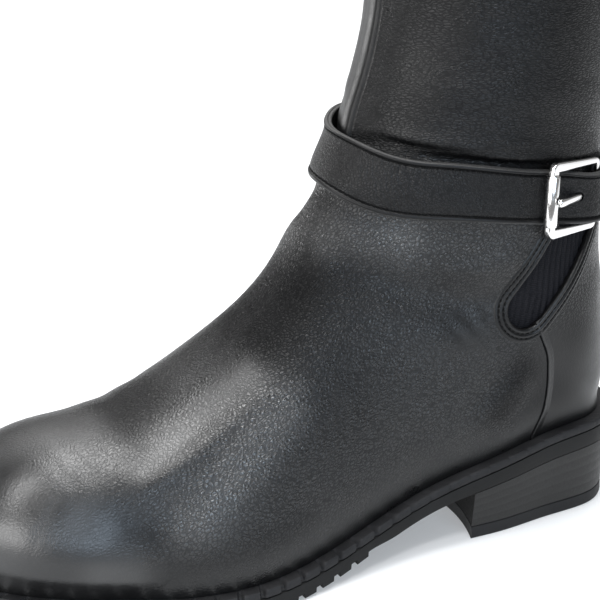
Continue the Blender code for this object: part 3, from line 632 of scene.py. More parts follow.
def leather_material(hide):
    """Tumbled grain: domed pebbles parted by furrows, finer ones among them, pores, wrinkles in places."""
    look = Look(hide.name)
    vector = look.place(hide.turn, hide.stretch)
    large = look.cells(look.warped(vector, 0.3 / hide.grain, 0.9 * hide.grain), 1.0 / hide.grain)
    small = look.cells(look.warped(vector, 0.8 / hide.grain, 0.5 * hide.grain), 2.1 / hide.grain)
    furrow = look.mapped(large, 0.0, 0.22, 1.0, 0.0)
    domed = look.plus(look.times(look.mapped(large, 0.0, 0.5), 0.55), look.times(furrow, -0.35))
    shape = look.plus(domed, look.times(look.mapped(small, 0.0, 0.3), 0.3))
    patches = look.mapped(look.noise(vector, PATCH_SCALE, detail=2.0), 0.32, 0.62, 0.75, 1.0)
    amount = look.times(look.point_value("grain"), patches)
    lozenge = look.warped(look.place((35.0, 0.0, 0.0), (1.0, 1.9, 0.8)), 330.0, 0.0024)
    wrinkle = look.mapped(look.cells(lozenge, WRINKLE_SCALE), 0.0, 0.2, 1.0, 0.0)
    wrinkle = look.times(wrinkle, look.point_value("wrinkle"))
    pored = look.bump(look.noise(vector, PORE_SCALE, detail=2.0), PORE_DEPTH, 0.4)
    grained = look.bump(look.times(shape, amount), hide.depth, Normal=pored)
    cloudy = look.noise(vector, CLOUD_SCALE, detail=4.0, rough=0.6)
    # Furrows and wrinkles are rougher, and lose shine as painted shade in these recesses
    sunk = look.plus(look.times(furrow, amount), look.times(wrinkle, 0.5))
    smooth = look.mapped(look.point_value("grain"), 0.0, 0.6, 0.1, 0.0)
    rough = look.mapped(cloudy, 0.3, 0.7, hide.rough - 0.04, hide.rough + 0.05)
    shine = look.mapped(sunk, 0.0, 0.9, hide.shine, FURROW_SHINE * hide.shine)
    # The shine is also raised and lowered by a point value of each piece: painted highlights and painted
    # shade
    look.feed(
        Normal=look.bump(look.times(wrinkle, -1.0), WRINKLE_DEPTH, Normal=grained),
        Roughness=look.plus(rough, look.plus(look.times(sunk, 0.2), smooth)),
        Specular_IOR_Level=look.times(shine, look.plus(look.point_value("polish"), 1.0)),
        Base_Color=look.colours(look.mapped(cloudy, 0.3, 0.75), BLACK, PALE_BLACK),
    )
    return look.material


def raw_edge_material():
    look = Look("raw leather edge", Roughness=0.6)
    fibre = look.noise(look.place(stretch=(1.0, 1.0, 4.0)), 1500.0, detail=4.0, rough=0.7)
    tone = look.mapped(fibre, 0.3, 0.7)
    look.feed(
        Normal=look.bump(fibre, 0.0003, 0.5),
        Base_Color=look.colours(tone, (0.012, 0.012, 0.012), (0.045, 0.044, 0.043)),
    )
    return look.material


def lining_material():
    look = Look("black lining", Roughness=0.7)
    vector = look.place()
    cloudy = look.noise(vector, 70.0)
    look.feed(
        Normal=look.bump(look.cells(vector, 1300.0), 0.0002, 0.4),
        Base_Color=look.colours(cloudy, (0.010, 0.010, 0.011), (0.022, 0.022, 0.023)),
    )
    return look.material


def elastic_material():
    look = Look("ribbed elastic", Roughness=0.75, Specular_IOR_Level=0.15)
    vector = look.place()
    yarn = look.wave(vector, 420.0, "Z", Distortion=1.5, Detail=2.0, Detail_Scale=2.0)
    fuzz = look.noise(vector, 3500.0)
    look.feed(
        Normal=look.bump(look.plus(look.times(yarn, 0.6), look.times(fuzz, 0.4)), 0.0003, 0.6),
        Base_Color=look.colours(yarn, (0.003, 0.003, 0.004), (0.010, 0.010, 0.013)),
    )
    return look.material


def thread_material():
    look = Look("black thread", Roughness=0.7, Specular_IOR_Level=0.12)
    twist = look.wave(look.place(), 900.0, "DIAGONAL")
    look.feed(
        Normal=look.bump(twist, 0.0002, 0.6),
        Base_Color=look.colours(twist, (0.001, 0.001, 0.001), (0.006, 0.006, 0.006)),
    )
    return look.material


def metal_material():
    look = Look("polished nickel", Metallic=1.0)
    cloudy = look.noise(look.place(), 260.0, detail=4.0, rough=0.6)
    scratch = look.noise(look.place((0.0, 0.0, 30.0), (1.0, 8.0, 1.0)), 900.0, rough=0.7)
    look.feed(
        Normal=look.bump(scratch, 0.00004, 0.25),
        Roughness=look.mapped(cloudy, 0.3, 0.75, 0.08, 0.22),
        Base_Color=look.colours(cloudy, (0.72, 0.71, 0.70), (0.86, 0.85, 0.84)),
    )
    return look.material


def rubber_material(rubber):
    look = Look(rubber.name, Specular_IOR_Level=0.2)
    vector = look.place()
    cloudy = look.noise(vector, 60.0, detail=4.0, rough=0.6)
    fine = look.noise(vector, 1400.0, detail=5.0, rough=0.65)
    look.feed(
        Normal=look.bump(fine, rubber.pits, 0.5),
        Roughness=look.mapped(cloudy, 0.3, 0.7, rubber.rough - 0.07, rubber.rough + 0.08),
        Base_Color=look.colours(look.mapped(cloudy, 0.3, 0.75), rubber.low, rubber.high),
    )
    return look.material


def heel_material():
    """Waxed board in layers; the breast, which faces the toe, has its shine lowered as painted shade."""
    look = Look("stacked heel board")
    normal = look.node("TexCoord", {}).outputs["Normal"]
    facing = look.node("SeparateXYZ", {0: normal}).outputs["Y"]
    layers = look.noise(look.place(stretch=(0.06, 0.06, 1.0)), 330.0, rough=0.6)
    fibre = look.noise(look.place(stretch=(0.25, 0.25, 2.0)), 900.0, detail=4.0, rough=0.7)
    tone = look.mapped(layers, 0.35, 0.7)
    look.feed(
        Normal=look.bump(fibre, 0.0002, 0.35),
        Roughness=look.mapped(fibre, 0.3, 0.7, 0.42, 0.58),
        # Painted shade: little shine where the surface faces the toe
        Specular_IOR_Level=look.mapped(facing, -0.95, -0.5, 0.03, 0.32),
        Base_Color=look.colours(tone, (0.006, 0.006, 0.006), (0.017, 0.016, 0.015)),
    )
    return look.material


def insole_material():
    look = Look("insole leather", Roughness=0.6)
    vector = look.place()
    grain = look.cells(look.warped(vector, 300.0, 0.001), 900.0)
    cloudy = look.noise(vector, 40.0, detail=4.0)
    look.feed(
        Normal=look.bump(grain, 0.0002, 0.35),
        Base_Color=look.colours(cloudy, (0.035, 0.03, 0.026), (0.075, 0.064, 0.054)),
    )
    return look.material


def paper_material():
    """Pale floor paper with a faint glow, which keeps the boot's shadow light."""
    look = Look("pale paper", Roughness=0.8)
    look.feed(Emission_Color=(0.96, 0.98, 1.0, 1.0), Emission_Strength=0.28)
    cloudy = look.noise(look.place(), 3.0)
    look.feed(Base_Color=look.colours(cloudy, (0.62, 0.63, 0.64), (0.64, 0.65, 0.66)))
    return look.material


# Folds of the leather: two ends and the middle as row and turn in degrees, then millimetres
Fold = namedtuple("Fold", "row_a turn_a row_m turn_m row_b turn_b wide deep")
UPPER_FOLDS = (
    Fold(0.84, 170.0, 0.95, 149.0, 1.11, 131.0, 1.7, 0.14),
    Fold(0.68, 161.0, 0.80, 140.0, 0.89, 127.0, 1.7, 0.1),
    Fold(1.10, 171.0, 1.20, 151.0, 1.34, 136.0, 1.8, 0.12),
    Fold(1.50, 122.0, 2.53, 138.0, 3.45, 136.0, 3.4, -0.75),
    Fold(1.35, 137.0, 2.17, 152.0, 3.15, 150.0, 7.0, 0.6),
    Fold(1.80, 108.0, 2.85, 119.0, 3.80, 121.0, 6.0, 0.6),
    Fold(0.06, 114.0, 0.50, 75.0, 1.80, 57.0, 12.0, -2.8),
    Fold(6.4, 157.0, 8.4, 121.0, 10.0, 92.0, 7.5, -2.2),
    Fold(5.2, 148.0, 7.6, 119.0, 9.5, 97.0, 10.0, 1.0),
    Fold(7.46, 115.0, 7.24, 105.0, 6.98, 94.0, 2.2, 0.15),
    Fold(8.34, 111.0, 7.70, 104.0, 7.16, 94.0, 2.2, 0.15),
    Fold(6.76, 114.0, 6.80, 103.0, 6.77, 92.0, 2.2, 0.12),
    Fold(5.83, 62.0, 6.30, 79.0, 7.13, 80.0, 5.0, -0.8),
    Fold(6.17, 50.0, 6.62, 63.0, 7.19, 68.0, 5.0, 0.7),
    Fold(1.75, 190.0, 1.95, 225.0, 2.25, 280.0, 5.0, 0.6),
    Fold(2.25, 200.0, 2.45, 235.0, 2.75, 285.0, 5.0, 0.6),
)
SHAFT_FOLDS = (
    Fold(12.58, 40.0, 11.88, 110.0, 12.12, 168.0, 2.6, 2.2),
    Fold(12.95, 45.0, 12.35, 108.0, 12.35, 165.0, 4.0, -0.9),
    Fold(12.80, 85.0, 12.40, 122.0, 12.36, 160.0, 1.6, 0.7),
    Fold(12.54, 159.0, 12.16, 140.0, 12.50, 112.0, 1.5, 0.5),
    Fold(12.90, 60.0, 12.72, 85.0, 12.60, 112.0, 2.0, 0.6),
    Fold(13.20, 157.0, 13.08, 127.0, 13.30, 96.0, 5.0, 0.5),
    Fold(13.30, 60.0, 13.28, 95.0, 13.20, 130.0, 5.0, 0.5),
    Fold(13.70, 160.0, 13.70, 130.0, 13.85, 75.0, 7.0, 0.5),
    Fold(12.75, 200.0, 12.98, 250.0, 13.10, 310.0, 2.6, 0.9),
    Fold(12.95, 190.0, 13.20, 230.0, 13.25, 280.0, 3.0, 0.6),
)

# Section of a fold: steps along it, taper at its ends, place and height of the ridge beside it
FOLD_STEPS = 41
FOLD_TAPER = 0.7
FOLD_RIDGE_AT = 1.7
FOLD_RIDGE_HIGH = 0.4

# Slow unevenness: pairs of crossed waves, each along x, y, z and with its start; length and height in mm
WAVE_PAIRS = (
    (1.0, (1.7, 2.3, 0.0, 0.4), (0.0, -1.1, 1.9, 1.3)),
    (0.6, (0.0, 3.1, 2.2, 2.0), (2.7, 0.0, -1.6, 0.0)),
)
UPPER_WAVES = (24.0, 0.12)
SHAFT_WAVES = (20.0, 0.2)


def fold_lift(points, folds):
    """Soft troughs with a low ridge at each side, as millimetres along the normal."""
    lift = np.zeros(points.shape[:-1])
    share = np.linspace(0.0, 1.0, FOLD_STEPS)
    for fold in folds:
        weights = ((1.0 - share) ** 2, 2.0 * share * (1.0 - share), share ** 2)
        row = weights[0] * fold.row_a + weights[1] * fold.row_m + weights[2] * fold.row_b
        turn = weights[0] * fold.turn_a + weights[1] * fold.turn_m + weights[2] * fold.turn_b
        line = leather(row, np.radians(turn))
        nearest = np.full(lift.shape, np.inf)
        along = np.zeros(lift.shape)
        for k in range(len(share)):
            distance = np.linalg.norm(points - line[k], axis=-1)
            closer = distance < nearest
            nearest = np.where(closer, distance, nearest)
            along = np.where(closer, share[k], along)
        taper = np.sin(math.pi * np.clip(along, 0.0, 1.0)) ** FOLD_TAPER
        trough = np.exp(-(nearest / fold.wide) ** 2)
        ridge = np.exp(-((nearest - FOLD_RIDGE_AT * fold.wide) / fold.wide) ** 2)
        lift += fold.deep * taper * (FOLD_RIDGE_HIGH * ridge - trough)
    return lift


def soft_waves(points, size, high):
    """Slow unevenness of leather that has seen wear."""
    place = np.concatenate([points / size, np.ones(points.shape[:-1] + (1,))], axis=-1)
    waves = [share * np.sin(place @ one) * np.sin(place @ other) for share, one, other in WAVE_PAIRS]
    return high * sum(waves)


def gore_distance(points):
    """Distance in side view from the cut-out's edge, negative inside it, far away on the inner side."""
    s, z = side_view(points)
    top, low = np.array(GORE_TOP), np.array(GORE_LOW)
    length = np.linalg.norm(low - top)
    axis = (low - top) / length
    along = (s - top[0]) * axis[0] + (z - top[1]) * axis[1]
    ahead = (z - top[1]) * axis[0] - (s - top[0]) * axis[1]
    start = np.where(ahead > 0.0, 0.0, -GORE_BACK_RISE)
    share = np.clip((along - start) / (length - start), 0.0, 1.0)
    wide = GORE_WIDE_TOP + (GORE_WIDE_LOW - GORE_WIDE_TOP) * share
    side = np.abs(ahead)
    distance = np.where(along > length, np.hypot(along - length, side) - GORE_WIDE_LOW, side - wide)
    rise = GORE_BACK_RISE * np.clip((GORE_WIDE_TOP - ahead) / (2.0 * GORE_WIDE_TOP), 0.0, 1.0)
    distance = np.maximum(distance, -along - rise)
    return np.where(points[..., 0] > 0.0, distance, LAST_LENGTH)


# Marks in side view: both ends, spread in mm, and the change at the line between them. The creased and
# wrinkled marks are wear of the grain; the last list raises or lowers the shine, as painted highlights and
# painted shade.
Mark = namedtuple("Mark", "s_a z_a s_b z_b spread change")
UPPER_CREASED = (
    Mark(122.0, 122.0, 66.0, 115.0, 8.0, 0.5),
    Mark(205.0, 54.0, 158.0, 80.0, 5.5, -0.6),
    Mark(190.0, 38.0, 150.0, 70.0, 10.0, 0.4),
)
UPPER_WRINKLED = (
    Mark(232.0, 57.0, 212.0, 63.0, 8.0, 0.7),
    Mark(212.0, 47.0, 196.0, 50.0, 7.0, 0.6),
    Mark(122.0, 122.0, 66.0, 115.0, 8.0, 0.9),
    Mark(82.0, 101.0, 62.0, 82.0, 8.0, 0.8),
    Mark(170.0, 60.0, 130.0, 84.0, 14.0, 0.4),
)
# Shine raised above 0 and lowered below 0 in places: painted highlights and painted shade
UPPER_PAINTED_SHINE = (
    Mark(266.0, 38.0, 238.0, 50.0, 15.0, 0.9),
    Mark(226.0, 60.0, 214.0, 62.0, 7.0, 0.5),
    Mark(190.0, 38.0, 150.0, 70.0, 9.0, 1.2),
    Mark(222.0, 24.0, 212.0, 22.0, 8.0, 0.6),
    Mark(203.0, 55.0, 158.0, 80.0, 4.5, 0.7),
    Mark(203.0, 66.0, 190.0, 74.0, 7.0, -0.65),
    Mark(213.0, 38.0, 205.0, 35.0, 7.0, -0.4),
    Mark(122.0, 122.0, 98.0, 121.0, 8.0, 1.1),
    Mark(98.0, 121.0, 66.0, 115.0, 7.0, 0.5),
    Mark(150.0, 90.0, 122.0, 118.0, 16.0, -0.78),
    Mark(205.0, 20.0, 150.0, 28.0, 8.0, -0.3),
    Mark(24.0, 78.0, 2.0, 104.0, 17.0, -0.6),
    Mark(40.0, 52.0, 10.0, 52.0, 12.0, -0.45),
    Mark(62.0, 50.0, 52.0, 66.0, 8.0, -0.5),
)


def side_marks(points, marks):
    """Sum of the marks at the points, each fading softly away from its line."""
    side = np.stack(side_view(points), axis=-1)
    change = np.zeros(points.shape[:-1])
    for mark in marks:
        start = np.array((mark.s_a, mark.z_a))
        way = np.array((mark.s_b, mark.z_b)) - start
        share = np.clip((side - start) @ way / (way @ way), 0.0, 1.0)
        distance = np.linalg.norm(side - start - share[..., None] * way, axis=-1)
        change += mark.change * np.exp(-(distance / mark.spread) ** 2)
    return change


# Smooth places of the grain: where each begins and ends, and the share of the grain that is lost
SMOOTH_TOE = (190.0, 222.0)
SMOOTH_TOE_LOSS = 0.7
SMOOTH_COUNTER_S = (60.0, 38.0)
SMOOTH_COUNTER_Z = (100.0, 70.0)
SMOOTH_COUNTER_LOSS = 0.8
SMOOTH_QUARTER = (74.0, 84.0)
SMOOTH_QUARTER_SPREAD = (20.0, 13.0)
SMOOTH_QUARTER_LOSS = 0.75
SMOOTH_RIM = (24.0, 4.0)
SMOOTH_RIM_LOSS = 0.65


def upper_grain(points):
    """Strength of the grain: smooth toe, heel counter and lower edge, strong where the vamp is creased."""
    s, z = side_view(points)
    toe = smooth_step(*SMOOTH_TOE, s)
    counter = smooth_step(*SMOOTH_COUNTER_S, s) * smooth_step(*SMOOTH_COUNTER_Z, z)
    ahead = (s - SMOOTH_QUARTER[0]) / SMOOTH_QUARTER_SPREAD[0]
    above = (z - SMOOTH_QUARTER[1]) / SMOOTH_QUARTER_SPREAD[1]
    rim = smooth_step(*SMOOTH_RIM, z - feather_z(s))
    strength = (1.0 - SMOOTH_TOE_LOSS * toe) * (1.0 - SMOOTH_COUNTER_LOSS * counter)
    strength *= 1.0 - SMOOTH_QUARTER_LOSS * np.exp(-ahead ** 2 - above ** 2)
    strength *= 1.0 - SMOOTH_RIM_LOSS * rim
    return strength * (1.0 + side_marks(points, UPPER_CREASED))


# Leather pieces: mesh counts along the rows, and round each side below and above the widest line
UPPER_ROWS = (80, 150, 26)
UPPER_BACK_ROWS = 70
UPPER_TURNS = ((36, 46), (26, 28))
SHAFT_ROWS = 112
SHAFT_TURNS = ((36, 42), (26, 28))
GORE_GRID = (90, 150)
SOLE_FADE = 10.0


def skin_turns(outer_counts, inner_counts):
    def half(counts):
        low = np.linspace(0.0, math.pi / 2.0, counts[0])
        return np.concatenate([low, np.linspace(math.pi / 2.0, math.pi, counts[1])[1:]])

    inner = half(inner_counts)
    return np.concatenate([half(outer_counts), 2.0 * math.pi - inner[-2::-1]])


def upper_lift(base):
    """Folds and unevenness of the upper, fading out at the sole."""
    s, z = side_view(base)
    fade = smooth_step(0.0, SOLE_FADE, z - feather_z(s))
    return (fold_lift(base, UPPER_FOLDS) + soft_waves(base, *UPPER_WAVES)) * fade


def build_upper(leather_mat, lining):
    back = np.linspace(ROW["heel_back"], JOINT_ROW, UPPER_BACK_ROWS)[1:]
    rows = np.concatenate([foot_rows(*UPPER_ROWS), back])
    turns = skin_turns(*UPPER_TURNS)
    row, turn = np.meshgrid(rows, turns, indexing="ij")
    base = leather(row, turn)
    distance = gore_distance(base)
    points = base + leather_normal(row, turn) * upper_lift(base)[..., None]
    values = (upper_grain(base), side_marks(base, UPPER_PAINTED_SHINE), side_marks(base, UPPER_WRINKLED))
    data = np.column_stack([points.reshape(-1, 3)] + [value.ravel() for value in values])
    data, faces = clip_faces(data, grid_faces(len(rows), len(turns)), distance.ravel())
    fields = {"grain": data[:, 3], "polish": data[:, 4], "wrinkle": data[:, 5]}
    item = add_mesh("upper_skin", data[:, :3], faces, [leather_mat, lining], fields=fields)
    declare(settle(thicken(item, WALL)), "upper", "upper")


# Front seam of the shaft: distance towards the inner side in mm, height; folded edge, groove, raised strip
SEAM_PROFILE = (
    (-6.0, 0.0), (-1.4, 0.05), (-0.8, 0.2), (-0.35, 0.22), (-0.05, 0.05), (0.15, -0.85), (0.7, -1.0),
    (1.3, -0.95), (1.7, -0.5), (2.3, 0.45), (3.0, 0.78), (4.2, 0.95), (6.0, 0.95), (8.5, 0.7), (11.0, 0.3),
    (14.0, 0.0),
)
SEAM_STITCH = 0.7
SEAM_TURN_PER_MM = 1.0 / 42.0
SEAM_TURN = math.radians(173.0)
SEAM_SMOOTH_FROM = (0.0, 2.0)
SEAM_SMOOTH_TO = (24.0, 13.0)
SEAM_SMOOTH_LOSS = 0.8


def past_seam(turn):
    """Way past the front seam towards the inner side, in millimetres."""
    return (turn - SEAM_TURN) / SEAM_TURN_PER_MM


def shaft_seam_lift(turn):
    across, height = np.array(SEAM_PROFILE).T
    return np.interp(past_seam(turn), across, height)


def build_shaft(leather_mat, lining):
    rows = np.linspace(JOINT_ROW + JOINT_GAP, ROW["collar"], SHAFT_ROWS)
    plain = skin_turns(*SHAFT_TURNS)
    near = SEAM_TURN + np.array(SEAM_PROFILE)[:, 0] * SEAM_TURN_PER_MM
    plain = plain[(plain < near[0]) | (plain > near[-1])]
    turns = np.sort(np.concatenate([plain, near]))
    row, turn = np.meshgrid(rows, turns, indexing="ij")
    base = leather(row, turn)
    lift = fold_lift(base, SHAFT_FOLDS) + soft_waves(base, *SHAFT_WAVES) + shaft_seam_lift(turn)
    points = base + leather_normal(row, turn) * lift[..., None]
    strip = smooth_step(*SEAM_SMOOTH_FROM, past_seam(turn)) * smooth_step(*SEAM_SMOOTH_TO, past_seam(turn))
    fields = {"grain": (1.0 - SEAM_SMOOTH_LOSS * strip).ravel()}
    faces = grid_faces(len(rows), len(turns))
    item = add_mesh("shaft_skin", points, faces, [leather_mat, lining], fields=fields)
    declare(settle(thicken(item, WALL)), "shaft", "shaft")


def build_gore(material):
    patch = np.array(GORE_PATCH)
    rows = np.linspace(patch[0, 0], patch[-1, 0], GORE_GRID[0])
    share = np.linspace(-1.0, 1.0, GORE_GRID[1])
    middle = np.interp(rows, patch[:, 0], patch[:, 1])
    half = np.interp(rows, patch[:, 0], patch[:, 2])
    turn = np.radians(middle[:, None] + half[:, None] * share[None, :])
    row = np.repeat(rows[:, None], len(share), axis=1)
    base = leather(row, turn)
    s, z = side_view(base)
    sway = RIB_SWAY * np.sin(z / RIB_SWAY_LENGTH) + RIB_SLANT * (z - RIB_UPRIGHT_Z)
    lift = -GORE_DEPTH + RIB_HIGH * np.abs(np.sin(math.pi * (s + sway) / RIB_PITCH)) ** RIB_ROUND
    points = base + leather_normal(row, turn) * lift[..., None]
    item = add_mesh("gore_ribs", points, grid_faces(*row.shape), [material])
    declare(settle(thicken(item, GORE_THICK), sharp_degrees=80.0), "elastic", "gore")


# Strap and buckle


def strap_lift(angle, share):
    """Height of the strap's inner face over the leather along its way round the ankle."""
    front = np.exp(-((angle + 180.0) / STRAP_FRONT_SPREAD) ** 2)
    stand = STRAP_STAND[0] + (STRAP_STAND[1] - STRAP_STAND[0]) * share
    rise_from = 360.0 - ROLLER_ANGLE + STRAP_RISE_FROM
    rise_to = 360.0 - HEEL_BAR_ANGLE - STRAP_RISE_TO
    tail = smooth_step(rise_from, rise_to, -angle)
    over = HEEL_BAR_LIFT + BAR_THICK / 2.0 + GAP
    return STRAP_GAP + stand * front + (over - STRAP_GAP) * tail


def strap_row(angle, share):
    """Row positions across the strap at angles: share 0 lower edge, 1 upper edge, along the leather."""
    angle = np.asarray(angle, float)
    shape = np.broadcast_shapes(angle.shape, np.shape(share))
    each = angle.ravel()
    shares = np.broadcast_to(share, shape).reshape(len(each), -1)
    low = natural_spline(np.array(STRAP_PATH)[:, None], (each % 360.0) / STRAP_PATH_STEP)
    rows = low + np.linspace(0.0, STRAP_REACH, STRAP_FINE)
    line = leather(rows, np.radians(each)[:, None])
    length = np.cumsum(np.linalg.norm(np.diff(line, axis=1, prepend=line[:, :1]), axis=-1), axis=1)
    found = [np.interp(STRAP_WIDE * one, way, row) for one, way, row in zip(shares, length, rows)]
    return np.array(found).reshape(shape)


def strap_half(angle):
    """Half width of the strap as a share; the tail end is rounded."""
    past = (-angle - (360.0 - STRAP_TAIL_ANGLE - STRAP_TAIL_ROUND)) / STRAP_TAIL_ROUND
    return 0.5 * round_end(past, STRAP_TAIL_POWER)


# Strap edge of two layers, from the inner face out: distance in from the edge, height
STRAP_EDGE = (
    (0.55, 0.0), (0.16, 0.12), (0.0, 0.45), (0.0, 0.95), (0.1, 1.2), (0.3, 1.32), (0.3, 1.42),
    (0.1, 1.52), (0.0, 1.8), (0.0, 2.25), (0.14, 2.6), (0.5, 2.82),
)

# Face and underside of the strap: distances in from the edge, and counts of steps
STRAP_EDGE_NEAR = (0.8, 1.1, 1.4, 1.65, 1.85, 2.05, 2.2, 2.35, 2.55, 2.75, 3.1)
STRAP_PLAIN_FROM = 3.8
STRAP_PLAIN_COUNT = 23
STRAP_UNDER_COUNT = 7
STRAP_UNDER_HALF = 0.8

# Raised lip and sunk stitch line along the strap's edge: distance in, spread, height. Lowered shine along
# the stitch line: distance in, spread, change; painted shade of its groove.
STRAP_LIP = (1.1, 0.55, 0.22)
STRAP_GROOVE = (STRAP_STITCH_IN, 0.42, -0.5)
STRAP_GROOVE_SHADE = (STRAP_STITCH_IN, 0.5, -0.6)
STRAP_PLAIN_SHARE = (0.9, 0.72)

# Slanting creases: angles where they begin, are full and end, their height and their pattern
CREASE_FRONT = (190.0, 202.0, 226.0, 256.0)
CREASE_INNER = (120.0, 140.0, 160.0, 176.0)
CREASE_INNER_SHARE = 0.5
CREASE_HIGH = 0.2
CREASE_PITCH = 1.6
CREASE_ROUND = 0.6
CREASE_MEAN = 0.6
CREASE_SLANT = 3.6
CREASE_STEP = 0.62
CREASE_WOBBLES = ((0.9, 0.23, 3.0), (0.6, 0.61, -5.0))
CREASE_ACROSS = (0.86, 0.7)

# Angles where the strap's steps change, and the counts of steps
STRAP_FRONT_FROM = -160.0
STRAP_FRONT_TO = -262.0
STRAP_STEPS = (150, 300, 90, 24)
STRAP_END_SPARE = 0.05


def hump(value, middle, spread, high):
    return high * np.exp(-((value - middle) / spread) ** 2)


def strap_face_height(inside):
    """Outer face at a distance in from the edge: raised lip, sunk stitch line, then the plain face."""
    return STRAP_THICK + hump(inside, *STRAP_LIP) + hump(inside, *STRAP_GROOVE)


def strap_profile():
    """Section of the strap: across from -1 to 1, height over its inner face, and 1 on the raw edges."""
    half = STRAP_WIDE / 2.0
    right = [(1.0 - inside / half, high, 1.0) for inside, high in STRAP_EDGE]
    near = np.array(STRAP_EDGE_NEAR)
    plain = np.linspace(STRAP_PLAIN_FROM, STRAP_WIDE - STRAP_PLAIN_FROM, STRAP_PLAIN_COUNT)
    inside = np.concatenate([near, plain, STRAP_WIDE - near[::-1]])
    edge_way = np.minimum(inside, STRAP_WIDE - inside)
    face = [(1.0 - i / half, high, 0.0) for i, high in zip(inside, strap_face_height(edge_way))]
    left = [(-a, high, edge) for a, high, edge in right[::-1]]
    under = [(a, 0.0, 0.0) for a in np.linspace(-STRAP_UNDER_HALF, STRAP_UNDER_HALF, STRAP_UNDER_COUNT)]
    return np.array(right + face + left + under)


def strap_creases(angle, across):
    """Fine slanting creases where the strap bends round the front."""
    turn = -angle
    front = smooth_step(*CREASE_FRONT[:2], turn) * smooth_step(*CREASE_FRONT[:1:-1], turn)
    inner = smooth_step(*CREASE_INNER[:2], turn) * smooth_step(*CREASE_INNER[:1:-1], turn)
    slant = turn * CREASE_STEP + across * CREASE_SLANT
    wobble = sum(size * np.sin(turn * step + across * lean) for size, step, lean in CREASE_WOBBLES)
    ripple = np.abs(np.sin(CREASE_PITCH * slant + wobble)) ** CREASE_ROUND
    high = CREASE_HIGH * (front + CREASE_INNER_SHARE * inner)
    return high * (ripple - CREASE_MEAN) * smooth_step(*CREASE_ACROSS, np.abs(across))


def strap_angles():
    tail_from = -(360.0 - STRAP_TAIL_ANGLE - STRAP_TAIL_ROUND)
    tail_to = -(360.0 - STRAP_TAIL_ANGLE - STRAP_END_SPARE)
    start = np.linspace(STRAP_START, STRAP_FRONT_FROM, STRAP_STEPS[0])
    front = np.linspace(STRAP_FRONT_FROM, STRAP_FRONT_TO, STRAP_STEPS[1])[1:]
    buckle = np.linspace(STRAP_FRONT_TO, tail_from, STRAP_STEPS[2])[1:]
    return np.concatenate([start, front, buckle, eased(tail_from, tail_to, STRAP_STEPS[3])[1:]])


def build_strap(face_mat, edge_mat):
    profile = strap_profile()
    angle = strap_angles()[:, None]
    across, high, edge = profile[None, :, 0], profile[None, :, 1], profile[None, :, 2]
    share = 0.5 + strap_half(angle) * across
    row = strap_row(angle, share)
    is_face = (high > STRAP_THICK / 2.0) & (edge < 0.5)
    lift = strap_lift(angle, share) + high + np.where(is_face, strap_creases(angle, across), 0.0)
    turn = np.radians(angle) + 0.0 * across
    points = lifted(row, turn, lift)
    count, ring = row.shape
    faces = loop_faces(count, ring)
    raw = profile[:, 2] * np.roll(profile[:, 2], -1) > 0.5
    slots = np.tile(raw.astype(int), count - 1).tolist()
    faces += [tuple(range(ring))[::-1], tuple(range((count - 1) * ring, count * ring))]
    slots += [1, 1]
    plain = smooth_step(*STRAP_PLAIN_SHARE, np.abs(across))
    # Painted shade: the shine of the face is lowered along the stitch lines
    groove_shade = hump((1.0 - np.abs(across)) * STRAP_WIDE / 2.0, *STRAP_GROOVE_SHADE) * is_face
    fields = {"grain": (plain + 0.0 * angle).ravel(), "polish": (groove_shade + 0.0 * angle).ravel()}
    item = add_mesh("strap_band", points, faces, [face_mat, edge_mat], slots, fields)
    for name, cutter in (("prong hole", prong_cutter(edge_mat)), ("spare hole", hole_cutter(edge_mat))):
        cut = item.modifiers.new(name, "BOOLEAN")
        cut.operation = "DIFFERENCE"
        cut.solver = "EXACT"
        cut.object = cutter
    settle(item, sharp_degrees=50.0)
    for cutter in [o for o in bpy.data.objects if o.name.startswith("hole_cutter")]:
        bpy.data.objects.remove(cutter, do_unlink=True)
    declare(item, "strap", "ankle_strap")


def strap_point(angle, share, lift):
    """Point over the strap's path: share 0 lower edge, 1 upper edge."""
    return lifted(strap_row(angle, share), math.radians(angle), lift)


def buckle_axes():
    """Roller centre and unit directions back along the strap, up across it and outward; length and width."""
    roller_lift = STRAP_GAP + STRAP_THICK + 2.0 * GAP + ROLLER_RADIUS
    front_low = strap_point(ROLLER_ANGLE, 0.0, roller_lift)
    front_high = strap_point(ROLLER_ANGLE, 1.0, roller_lift)
    rear = strap_point(HEEL_BAR_ANGLE, 0.5, HEEL_BAR_LIFT)
    roller = (front_low + front_high) / 2.0
    back = rear - roller
    length = np.linalg.norm(back)
    back = back / length
    up = front_high - front_low
    width = np.linalg.norm(up)
    up = unit(up - back * np.dot(up, back))
    return roller, back, up, np.cross(back, up), length, width


def tube_points(line, side, other, wide, thick, sides, power=2.0):
    """Rings of rounded section round a line; wide and thick are half sizes for each point."""
    angle = 2.0 * math.pi * np.arange(sides) / sides
    c, s = np.cos(angle), np.sin(angle)
    a = np.sign(c) * np.abs(c) ** (2.0 / power)
    b = np.sign(s) * np.abs(s) ** (2.0 / power)
    wide = np.broadcast_to(wide, len(line))[:, None] * a
    thick = np.broadcast_to(thick, len(line))[:, None] * b
    side = np.broadcast_to(side, line.shape)[:, None]
    other = np.broadcast_to(other, line.shape)[:, None]
    return line[:, None] + side * wide[..., None] + other * thick[..., None]


def tube_faces(rings, sides):
    caps = [tuple(range(sides))[::-1], tuple(range((rings - 1) * sides, rings * sides))]
    return loop_faces(rings, sides) + caps


